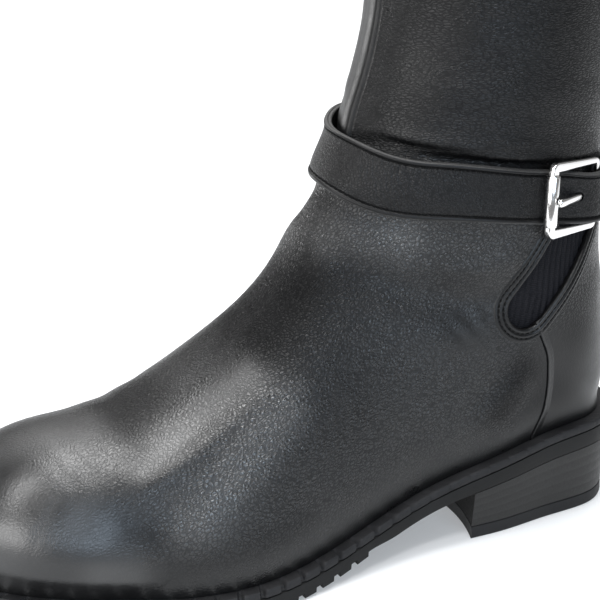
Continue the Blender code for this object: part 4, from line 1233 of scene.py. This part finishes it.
def frame_line(half, length, corner=1.6, steps=7):
    """Closed rounded rectangle in the buckle's plane: (back, up) points and outward directions."""
    places, outward = [], []
    corners = ((length, half, 0.0), (0.0, half, 90.0), (0.0, -half, 180.0), (length, -half, 270.0))
    for a, b, start in corners:
        sign_a = -1.0 if a > 0.0 else 1.0
        sign_b = -1.0 if b > 0.0 else 1.0
        for k in range(steps):
            turn = math.radians(start + 90.0 * k / (steps - 1))
            way = (math.cos(turn), math.sin(turn))
            places.append((a + sign_a * corner + corner * way[0], b + sign_b * corner + corner * way[1]))
            outward.append(way)
    return np.array(places), np.array(outward)


def build_buckle(metal):
    roller, back, up, out, length, width = buckle_axes()
    half = width / 2.0 + FRAME_SPARE + BAR_WIDE / 2.0
    places, outward = frame_line(half, length)
    line = roller + places[:, :1] * back + places[:, 1:] * up
    side = outward[:, :1] * back + outward[:, 1:] * up
    wide = BAR_FRONT_HALF + (BAR_REAR_HALF - BAR_FRONT_HALF) * np.clip(places[:, 0] / length, 0.0, 1.0)
    points = tube_points(line, side, out, wide, 0.5 * BAR_THICK, sides=24, power=6.0)
    count, sides = points.shape[:2]
    item = add_mesh("buckle_loop", points, loop_faces(count, sides, closed=True), [metal])
    declare(settle(item, sharp_degrees=50.0), "buckle", "buckle_frame")
    build_roller(metal, roller, up, back, out)
    build_prong(metal)


# Half of the roller from its end to its middle: share of the length, share of the radius
ROLLER_HALF = ((0.5, 0.80), (0.49, 0.93), (0.48, 0.98), (0.465, 1.0), (0.46, 0.97), (0.45, 1.0))
ROLLER_SIDES = 48


def build_roller(metal, roller, up, back, out):
    half = np.array(ROLLER_HALF)
    ends = np.concatenate([-half[:, 0], half[::-1, 0]])
    radius = ROLLER_RADIUS * np.concatenate([half[:, 1], half[::-1, 1]])
    line = roller + ends[:, None] * ROLLER_LENGTH * up
    points = tube_points(line, back, out, radius, radius, ROLLER_SIDES)
    item = add_mesh("buckle_roll", points, tube_faces(len(ends), ROLLER_SIDES), [metal])
    declare(settle(item, sharp_degrees=40.0), "buckle", "buckle_roller")


def prong_path(count):
    """Middle line of the prong: from beside the heel bar, through the strap, to the top of the roller."""
    roller, back, _, out, length, _ = buckle_axes()
    rear = roller + back * (length - BAR_WIDE * HEEL_BAR_SHARE / 2.0 - GAP - PRONG_RADIUS)
    hole = roller + back * (length * PRONG_HOLE_SHARE) + out * (ROLLER_RADIUS - GAP)
    rest = roller + out * (ROLLER_RADIUS + GAP + PRONG_RADIUS)
    tip = rest - back * (ROLLER_RADIUS / 2.0)
    path = np.array([rear, hole, rest + back * PRONG_BEND, tip])
    return natural_spline(path, np.linspace(0.0, len(path) - 1.0, count))


def prong_tube(name, count, wide, thick, material):
    line = prong_path(count)
    _, _, up, _, _, _ = buckle_axes()
    ahead = unit(np.gradient(line, axis=0))
    points = tube_points(line, up, np.cross(ahead, up), wide, thick, PRONG_SIDES, power=2.6)
    return add_mesh(name, points, tube_faces(count, PRONG_SIDES), [material])


def build_prong(metal):
    along = np.linspace(0.0, 1.0, PRONG_STEPS)
    taper = round_end((along - 1.0 + PRONG_TIP) / PRONG_TIP, 2.0) * (1.0 - PRONG_TIP_LEFT) + PRONG_TIP_LEFT
    radius = PRONG_RADIUS * taper
    item = prong_tube("buckle_pin", PRONG_STEPS, PRONG_WIDE * radius, PRONG_FLAT * radius, metal)
    declare(settle(item, sharp_degrees=60.0), "buckle", "buckle_prong")


def prong_cutter(material):
    wide = PRONG_WIDE * PRONG_RADIUS + GAP
    return prong_tube("hole_cutter_prong", PRONG_HOLE_STEPS, wide, PRONG_RADIUS + GAP, material)


def hole_cutter(material):
    line = np.array([strap_point(STRAP_HOLE_ANGLE, 0.5, lift) for lift in STRAP_HOLE_LIFTS])
    along = strap_point(STRAP_HOLE_ANGLE - 1.0, 0.5, 0.0) - strap_point(STRAP_HOLE_ANGLE + 1.0, 0.5, 0.0)
    along = unit(along)
    other = np.cross(unit(line[-1] - line[0]), along)
    points = tube_points(line, along, other, STRAP_HOLE_RADIUS, STRAP_HOLE_RADIUS, STRAP_HOLE_SIDES)
    faces = tube_faces(len(line), STRAP_HOLE_SIDES)
    return add_mesh("hole_cutter_spare", points, faces, [material])


# Stitches: step, length and radius of the thread in millimetres
Stitch = namedtuple("Stitch", "pitch length radius")
STRAP_THREAD = Stitch(2.3, 1.6, 0.3)
STRAP_THREAD_LIFT = 0.1
GORE_THREAD = Stitch(2.1, 1.5, 0.26)
GORE_THREAD_LIFT = 0.38
SHAFT_THREAD = Stitch(2.8, 2.0, 0.32)
SEAM_THREAD_LIFT = -0.8
COLLAR_THREAD_LIFT = 0.05
COLLAR_THREAD_IN = 0.1
STRAP_THREAD_START = 30.0
STRAP_THREAD_STEPS = 700
SEAM_THREAD_LOW = 0.5
SEAM_THREAD_HIGH = 0.12
SEAM_THREAD_STEPS = 160
COLLAR_THREAD_STEPS = 300
STITCH_RINGS = 7
STITCH_SIDES = 8
STITCH_LOOK_AHEAD = 0.3
STITCH_END = 0.02
STITCH_DIP = 0.35


def stitch_points(middle, ahead, up, stitch):
    """Small spindle of thread, sunk at its ends into the surface."""
    rings = np.linspace(-1.0, 1.0, STITCH_RINGS)
    swell = stitch.radius * np.sqrt(np.maximum(1.0 - np.abs(rings) ** 3, STITCH_END))
    dip = -STITCH_DIP * stitch.radius * rings ** 4
    line = middle + ahead * (rings * stitch.length / 2.0)[:, None] + up * dip[:, None]
    return tube_points(line, np.cross(ahead, up), up, swell, swell, STITCH_SIDES).reshape(-1, 3).tolist()


def stitch_row(path, up, stitch):
    """Points of the stitches at even steps along a path, one list for each stitch."""
    gone = way_gone(path)

    def at(where, values):
        return np.array([np.interp(where, gone, values[:, k]) for k in range(3)])

    stitches = []
    for where in np.arange(stitch.pitch / 2.0, gone[-1], stitch.pitch):
        middle = at(where, path)
        ahead = at(where + STITCH_LOOK_AHEAD, path) - middle
        if np.linalg.norm(ahead) < TINY:
            continue
        ahead = unit(ahead)
        normal = at(where, up)
        normal = unit(normal - ahead * np.dot(normal, ahead))
        stitches.append(stitch_points(middle, ahead, normal, stitch))
    return stitches


def add_stitches(name, stitches, material, slot):
    """One mesh of all the stitches of a piece."""
    points, faces = [], []
    for stitch in stitches:
        faces += [[k + len(points) for k in face] for face in tube_faces(STITCH_RINGS, STITCH_SIDES)]
        points += stitch
    declare(settle(add_mesh(name, points, faces, [material]), sharp_degrees=60.0), slot)


def strap_stitches(material):
    stitches = []
    tail = -(360.0 - STRAP_TAIL_ANGLE - STRAP_TAIL_ROUND)
    angle = np.linspace(STRAP_START - STRAP_THREAD_START, tail, STRAP_THREAD_STEPS)
    turn = np.radians(angle)
    for share in (STRAP_STITCH_IN / STRAP_WIDE, 1.0 - STRAP_STITCH_IN / STRAP_WIDE):
        row = strap_row(angle, share)
        high = strap_lift(angle, share) + strap_face_height(STRAP_STITCH_IN) + STRAP_THREAD_LIFT
        stitches += stitch_row(lifted(row, turn, high), leather_normal(row, turn), STRAP_THREAD)
    add_stitches("strap_stitches", stitches, material, "strap")


# Paths on the outer side: steps round the cut-out, and the grid that is searched for side view points
GORE_EDGE_STEPS = 40
SEARCH_STEPS = 330
SEARCH_TURNS = (2.0, 150.0)


def gore_edge(distance):
    """Path on the outer side at a distance round the cut-out, from under the strap and back up."""
    top, low = np.array(GORE_TOP), np.array(GORE_LOW)
    axis = unit(low - top)
    side = np.array([-axis[1], axis[0]])
    angle = np.linspace(0.0, math.pi, GORE_EDGE_STEPS)[:, None]
    start = top + (GORE_WIDE_TOP + distance) * side
    end = top - (GORE_WIDE_TOP + distance) * side - GORE_BACK_RISE * axis
    turned = low + (GORE_WIDE_LOW + distance) * (np.sin(angle) * axis + np.cos(angle) * side)
    ahead = np.linspace(start, turned[0], GORE_EDGE_STEPS)
    behind = np.linspace(turned[-1], end, GORE_EDGE_STEPS)
    return np.concatenate([ahead, turned[1:-1], behind])


@lru_cache(maxsize=None)
def outer_side_grid():
    rows = np.linspace(ROW["instep"], JOINT_ROW, SEARCH_STEPS)
    turns = np.radians(np.linspace(*SEARCH_TURNS, SEARCH_STEPS))
    row, turn = np.meshgrid(rows, turns, indexing="ij")
    return row, turn, leather(row, turn)


def on_outer_side(outline):
    """Rows and turns of the outer face at side view points, by search over a fine grid."""
    row, turn, grid = outer_side_grid()
    s, z = side_view(grid)
    found = []
    for ps, pz in outline:
        k = np.argmin((s - ps) ** 2 + (z - pz) ** 2)
        found.append((row.flat[k], turn.flat[k]))
    return np.array(found).T


def side_path(outline, lift):
    """Points over the outer face at side view points, and the normals there."""
    row, turn = on_outer_side(outline)
    base = leather(row, turn)
    normal = leather_normal(row, turn)
    return base + normal * (upper_lift(base) + lift)[:, None], normal


def smoothed(path, rounds=6):
    for _ in range(rounds):
        path = np.concatenate([path[:1], 0.25 * path[:-2] + 0.5 * path[1:-1] + 0.25 * path[2:], path[-1:]])
    return path


# Rolled border of the cut-out: distance out from its edge, height over the leather, change of the shine. The
# shine is lowered all over the border and most at the two stitch lines, as painted shade in their grooves.
GORE_BORDER = (
    (-0.5, -1.6, -0.5), (-0.65, -0.5, -0.4), (-0.45, 0.15, -0.3), (0.1, 0.6, -0.2), (0.7, 0.62, -0.3),
    (1.0, 0.45, -0.5), (1.4, 0.25, -0.65), (1.8, 0.45, -0.5), (2.2, 0.66, -0.3), (2.8, 0.6, -0.3),
    (3.0, 0.42, -0.5), (3.4, 0.22, -0.65), (3.8, 0.4, -0.5), (4.2, 0.42, -0.3), (4.7, 0.22, -0.4),
    (5.2, -0.15, -0.4), (5.4, -0.4, -0.4),
)
GORE_STITCH = (1.4, 3.4)

# Lapped side seam: distance behind the front panel's edge, height over the leather, change of the shine.
# Behind the edge the shine drops to a thin dark line, painted shade of the seam's groove, and the raised
# edge gets a little more, a painted highlight.
SEAM_LAP = (
    (-4.0, -0.3, -0.3), (-3.0, 0.0, -0.3), (-1.6, 0.22, -0.2), (-0.8, 0.42, 0.0), (-0.3, 0.5, 0.1),
    (0.0, 0.4, -0.9), (0.08, 0.12, -0.95), (0.4, 0.1, -0.95), (0.45, 0.05, -0.9), (0.5, -0.4, -0.9),
)

# Side seam and strips on the outer side: steps, rounds of smoothing, strength of the grain
SIDE_SEAM_STEPS = 90
SIDE_SEAM_ROUNDS = 40
STRIP_ROUNDS = 3
STRIP_GRAIN = 0.25


def strip_on_side(name, path, profile, material):
    """Strip along a side view path; the profile's distances run to the left of the path's way."""
    ahead = unit(np.gradient(path, axis=0))
    left = np.stack([-ahead[:, 1], ahead[:, 0]], axis=-1)
    rails = []
    for away, lift, _ in profile:
        points, _ = side_path(path + away * left, lift)
        rails.append(smoothed(points, STRIP_ROUNDS))
    points = np.stack(rails, axis=1)
    # Changes of the shine across the strip: painted highlights and painted shade
    shine = np.tile([change for _, _, change in profile], len(path))
    fields = {"grain": np.full(len(shine), STRIP_GRAIN), "polish": shine}
    item = add_mesh(name, points, grid_faces(*points.shape[:2]), [material], fields=fields)
    declare(settle(item, sharp_degrees=60.0), "upper")


def build_borders(leather_mat):
    strip_on_side("gore_border", gore_edge(0.0), GORE_BORDER, leather_mat)
    line = np.array(SIDE_SEAM)
    z = np.linspace(line[0, 1], line[-1, 1], SIDE_SEAM_STEPS)
    seam = np.stack([np.interp(-z, -line[:, 1], line[:, 0]), z], axis=-1)
    strip_on_side("side_seam", smoothed(seam, SIDE_SEAM_ROUNDS), SEAM_LAP, leather_mat)


def gore_stitches(material):
    stitches = []
    for distance in GORE_STITCH:
        path, up = side_path(gore_edge(distance), GORE_THREAD_LIFT)
        stitches += stitch_row(smoothed(path), up, GORE_THREAD)
    add_stitches("gore_stitches", stitches, material, "upper")


def shaft_stitches(material):
    """One row down the front seam and one round the collar."""
    row = np.linspace(JOINT_ROW + SEAM_THREAD_LOW, ROW["collar"] - SEAM_THREAD_HIGH, SEAM_THREAD_STEPS)
    turn = np.full(len(row), SEAM_TURN + SEAM_STITCH * SEAM_TURN_PER_MM)
    path = lifted(row, turn, np.full(len(row), SEAM_THREAD_LIFT))
    stitches = stitch_row(path, leather_normal(row, turn), SHAFT_THREAD)
    turn = np.linspace(0.0, 2.0 * math.pi, COLLAR_THREAD_STEPS)
    row = np.full(len(turn), ROW["collar"] - COLLAR_THREAD_IN)
    high = COLLAR_THREAD_LIFT + soft_waves(leather(row, turn), *SHAFT_WAVES) + shaft_seam_lift(turn)
    stitches += stitch_row(lifted(row, turn, high), leather_normal(row, turn), SHAFT_THREAD)
    add_stitches("shaft_stitches", stitches, material, "shaft")


# Sole pieces


# Rings of the welt's section: distance out, depth below the top, share of the notch
WELT_RINGS = (
    (-WELT_IN, 0.0, 0.0),
    (-0.4, 0.0, 0.0),
    (0.6, 0.0, 0.25),
    (WELT_OUT - 1.6, -0.05, 0.9),
    (WELT_OUT - 0.5, 0.0, 1.0),
    (WELT_OUT - 0.12, 0.35, 1.0),
    (WELT_OUT, 0.8, 1.0),
    (WELT_OUT, WELT_THICK - 0.4, 0.55),
    (WELT_OUT - 0.25, WELT_THICK, 0.4),
    (-WELT_IN, WELT_THICK, 0.0),
)


def build_welt(material):
    """Ring under the upper's edge with a row of rounded blocks along its rim."""
    _, around = plan_loop(WELT_OUT, np.zeros(1))
    blocks = int(round(around / WELT_BLOCK))
    places = np.arange(blocks * WELT_STEPS) / (blocks * WELT_STEPS)
    within = (places * blocks) % 1.0
    notch = smooth_step(0.0, WELT_NOTCH_START, within)
    notch *= smooth_step(WELT_NOTCH_SHARE, WELT_NOTCH_SHARE * WELT_NOTCH_FLAT, within)
    rim, _ = plan_loop(WELT_OUT, places)
    notch *= WELT_FADE_LEFT + (1.0 - WELT_FADE_LEFT) * smooth_step(*WELT_FADE, rim[:, 1])
    points = []
    for grow, drop, share in WELT_RINGS:
        plain, _ = plan_loop(grow, places)
        hollow, _ = plan_loop(grow - WELT_NOTCH_DEEP, places)
        mix = (notch * share)[:, None]
        plan = plain * (1.0 - mix) + hollow * mix
        sink = WELT_NOTCH_SINK * notch * share * (drop < WELT_THICK / 2.0)
        level = feather_z(plan[:, 1]) - GAP - drop - sink
        points += [(x, ORIGIN_S - s, z) for (x, s), z in zip(plan, level)]
    faces = loop_faces(len(WELT_RINGS), len(places), closed=True)
    declare(settle(add_mesh("welt_blocks", points, faces, [material]), sharp_degrees=40.0), "welt", "welt")


def sole_stations(outline):
    """Fine stations from toe to heel with a pair at each side of every lug, and 1 on the lugs."""
    outer, _ = outline
    front, rear = outer[0, 1], outer[-1, 1]
    toe = eased(front - TOE_CAP, front, SOLE_STEPS[0])[::-1]
    middle = np.linspace(front - TOE_CAP, rear + HEEL_CAP, SOLE_STEPS[1])[1:]
    heel = eased(rear + HEEL_CAP, rear, SOLE_STEPS[2])[1:]
    plain = np.concatenate([toe, middle, heel])
    marks = []
    starts = np.arange(LUG_FROM, LUG_TO - LUG_PITCH * LUG_SHARE, LUG_PITCH)
    lugs = [(low, low + LUG_PITCH * LUG_SHARE) for low in starts]
    for s in plain:
        near = [abs(s - e) < 2.0 * LUG_SLOPE for lug in lugs for e in lug]
        if not any(near):
            marks.append((s, 1.0 if any(low <= s <= high for low, high in lugs) else 0.0))
    for low, high in lugs:
        marks += [(low - LUG_SLOPE, 0.0), (low, 1.0), (high, 1.0), (high + LUG_SLOPE, 0.0)]
    marks.sort(reverse=True)
    return np.array([m[0] for m in marks]), np.array([m[1] for m in marks])


def build_outsole(material):
    """Plate with lugs under the forepart; each station is a closed section with softened rims."""
    outline = grown_outline(WELT_OUT)
    stations, on_lug = sole_stations(outline)
    root = LUG_DEEP * smooth_step(LUG_FROM - LUG_FADE, LUG_FROM, stations)
    root *= 1.0 - smooth_step(LUG_TO - LUG_FADE / 2.0, LUG_TO + LUG_FADE / 2.0, stations)
    outer, inner = outline_at(outline, stations)
    top = sole_top(stations)
    low = sole_floor(stations) + root * (1.0 - on_lug)
    half = np.maximum((outer - inner) / 2.0, 0.0)
    middle = (outer + inner) / 2.0
    soft = np.minimum(SOLE_SOFT, SOLE_SOFT_SHARE * half)
    points = []
    for k in range(len(stations)):
        rim = [(inset * soft[k], drop * soft[k]) for inset, drop in SOLE_RIM]
        ring = []
        for sign in (1.0, -1.0):
            side = [(sign * (half[k] - inset), top[k] - drop) for inset, drop in rim]
            side += [(sign * (half[k] - inset), low[k] + drop) for inset, drop in rim[::-1]]
            ring += side if sign > 0.0 else side[::-1]
        points += [(middle[k] + x, ORIGIN_S - stations[k], z) for x, z in ring]
    faces = tube_faces(len(stations), len(points) // len(stations))
    item = add_mesh("outsole_plate", points, faces, [material])
    declare(settle(item, sharp_degrees=40.0), "outsole", "outsole")


def heel_loop(grow):
    """Closed plan of the heel: hollow breast in front, sides and rounded back along the sole's outline."""
    outline = grown_outline(grow)
    s = eased(BREAST_S, outline[0][-1, 1], HEEL_STEPS)
    x_outer, x_inner = outline_at(outline, s)
    outside = np.stack([x_outer, s], axis=-1)
    inside = np.stack([x_inner, s], axis=-1)[::-1][1:]
    share = np.linspace(-1.0, 1.0, BREAST_STEPS)[1:-1]
    breast_x = (x_outer[0] + x_inner[0]) / 2.0 + share * (x_outer[0] - x_inner[0]) / 2.0
    breast = np.stack([breast_x, BREAST_S - BREAST_HOLLOW * (1.0 - share ** 2)], axis=-1)
    return np.concatenate([outside, inside, breast])


def heel_rings(table, material, name, slot, node):
    """Solid between stacked plan loops; table rows: how far the loop is grown, and its height at each s."""
    points = []
    for grow, level in table:
        loop = heel_loop(grow)
        points += [(x, ORIGIN_S - s, z) for (x, s), z in zip(loop, level(loop[:, 1]))]
    faces = tube_faces(len(table), len(points) // len(table))
    declare(settle(add_mesh(name, points, faces, [material]), sharp_degrees=35.0), slot, node)


def build_heel(board, rubber):
    low_grow = WELT_OUT - HEEL_TAPER
    bottom = LIFT_THICK + GAP

    def level_at(share):
        return lambda s: (sole_floor(s) - GAP) * (1.0 - share) + bottom * share

    table = []
    for layer in range(HEEL_LAYERS):
        for part, inset in HEEL_EDGE:
            share = (layer + part) / HEEL_LAYERS
            table.append((WELT_OUT - GAP - (HEEL_TAPER - GAP) * share - inset, level_at(share)))
    heel_rings(table, board, "heel_layers", "heel", "heel_stack")
    lift_table = [
        (low_grow - inset, lambda s, h=height: np.full_like(s, h))
        for inset, height in LIFT_EDGE
    ]
    heel_rings(lift_table, rubber, "heel_lift", "top_lift", "top_lift")


# Set
FLOOR_NEAR = -0.28
FLOOR_FAR = 2.4
FLOOR_HALF = 3.0
WORLD_STRENGTH = 0.28
BOOT_MIDDLE = (0.0, 0.0, 0.08)
WHITE = (1.0, 1.0, 1.0)
SKY_BLUE = (0.70, 0.84, 1.0)

# Area lights: place and aim in metres, width and height, watts
Lamp = namedtuple("Lamp", "name place aim size power colour")
LAMPS = (
    Lamp("overhead", (-0.03, 0.02, 1.35), BOOT_MIDDLE, (0.75, 0.7), 17.0, WHITE),
    Lamp("behind", (-0.42, 0.24, 1.30), BOOT_MIDDLE, (0.8, 0.35), 4.0, WHITE),
    Lamp("streak", (0.62, -0.12, 1.20), BOOT_MIDDLE, (0.26, 0.22), 5.0, WHITE),
    Lamp("toe", (0.06, -0.74, 1.00), (0.0, -0.1, 0.06), (0.38, 0.5), 4.4, WHITE),
    Lamp("front", (0.36, -0.80, 0.26), (0.0, 0.0, 0.1), (0.75, 0.5), 6.5, WHITE),
    Lamp("window", (1.28, -0.10, 0.40), BOOT_MIDDLE, (0.95, 0.45), 9.0, SKY_BLUE),
    Lamp("inner", (-1.20, -0.69, 0.26), BOOT_MIDDLE, (0.7, 0.36), 6.0, WHITE),
    Lamp("backdrop", (-1.4, 0.6, 1.4), (-1.6, 0.7, 0.0), (2.4, 1.4), 30.0, WHITE),
)


def view_axes():
    """Level directions of the photograph's view: away from the camera, and to the right."""
    turn = math.radians(CAMERA_AZIMUTH)
    away = np.array([-math.sin(turn), math.cos(turn), 0.0])
    right = np.array([math.cos(turn), math.sin(turn), 0.0])
    return away, right


def add_floor():
    """Pale floor, long enough to fill the view behind the boot."""
    away, right = view_axes()
    corners = ((FLOOR_NEAR, -1.0), (FLOOR_NEAR, 1.0), (FLOOR_FAR, 1.0), (FLOOR_FAR, -1.0))
    points = [(away * depth + right * side * FLOOR_HALF) / MM for depth, side in corners]
    add_mesh("floor", points, [(0, 1, 2, 3)], [paper_material()])


def add_item(name, data, right, up, back, where):
    """Links an object whose own axes point right, up and back, at a place in metres."""
    item = bpy.data.objects.new(name, data)
    bpy.context.scene.collection.objects.link(item)
    axes = np.eye(4)
    axes[:3] = np.column_stack([right, up, back, where])
    item.matrix_world = Matrix(axes.tolist())
    return item


def add_lamp(lamp):
    data = bpy.data.lights.new(lamp.name, "AREA")
    data.shape = "RECTANGLE"
    data.size, data.size_y = lamp.size
    data.energy = lamp.power
    data.color = lamp.colour
    back = unit(np.array(lamp.place) - np.array(lamp.aim))
    right = unit(np.cross((0.0, 0.0, 1.0), back))
    add_item(lamp.name, data, right, np.cross(back, right), back, lamp.place)


def add_lights():
    world = bpy.data.worlds.new("studio")
    world.use_nodes = True
    sky = world.node_tree.nodes["Background"]
    sky.inputs["Color"].default_value = (*WHITE, 1.0)
    sky.inputs["Strength"].default_value = WORLD_STRENGTH
    bpy.context.scene.world = world
    for lamp in LAMPS:
        add_lamp(lamp)


def add_camera():
    data = bpy.data.cameras.new("camera")
    data.sensor_width = CAMERA_SENSOR
    data.lens = CAMERA_LENS
    data.clip_start = CAMERA_NEAR
    rise, roll = math.radians(CAMERA_ELEVATION), math.radians(CAMERA_ROLL)
    away, right = view_axes()
    back = np.array([0.0, 0.0, math.sin(rise)]) - away * math.cos(rise)
    up = np.cross(back, right)
    rolled_right = math.cos(roll) * right + math.sin(roll) * up
    rolled_up = -math.sin(roll) * right + math.cos(roll) * up
    where = (np.array(CAMERA_TARGET) + back * CAMERA_DISTANCE) * MM
    bpy.context.scene.camera = add_item("camera", data, rolled_right, rolled_up, back, where)


def dress_boot():
    lining = lining_material()
    thread = thread_material()
    vamp = leather_material(VAMP_HIDE)
    build_upper(vamp, lining)
    build_borders(vamp)
    build_shaft(leather_material(SHAFT_HIDE), lining)
    build_gore(elastic_material())
    build_strap(leather_material(STRAP_HIDE), raw_edge_material())
    build_buckle(metal_material())
    strap_stitches(thread)
    gore_stitches(thread)
    shaft_stitches(thread)
    build_welt(rubber_material(WELT_RUBBER))
    build_outsole(rubber_material(SOLE_RUBBER))
    build_heel(heel_material(), rubber_material(LIFT_RUBBER))
    frame["nodes"]["insole"].material_slots[0].material = insole_material()


dress_boot()
add_floor()
add_lights()
add_camera()
bpy.context.scene.view_settings.view_transform = "Standard"
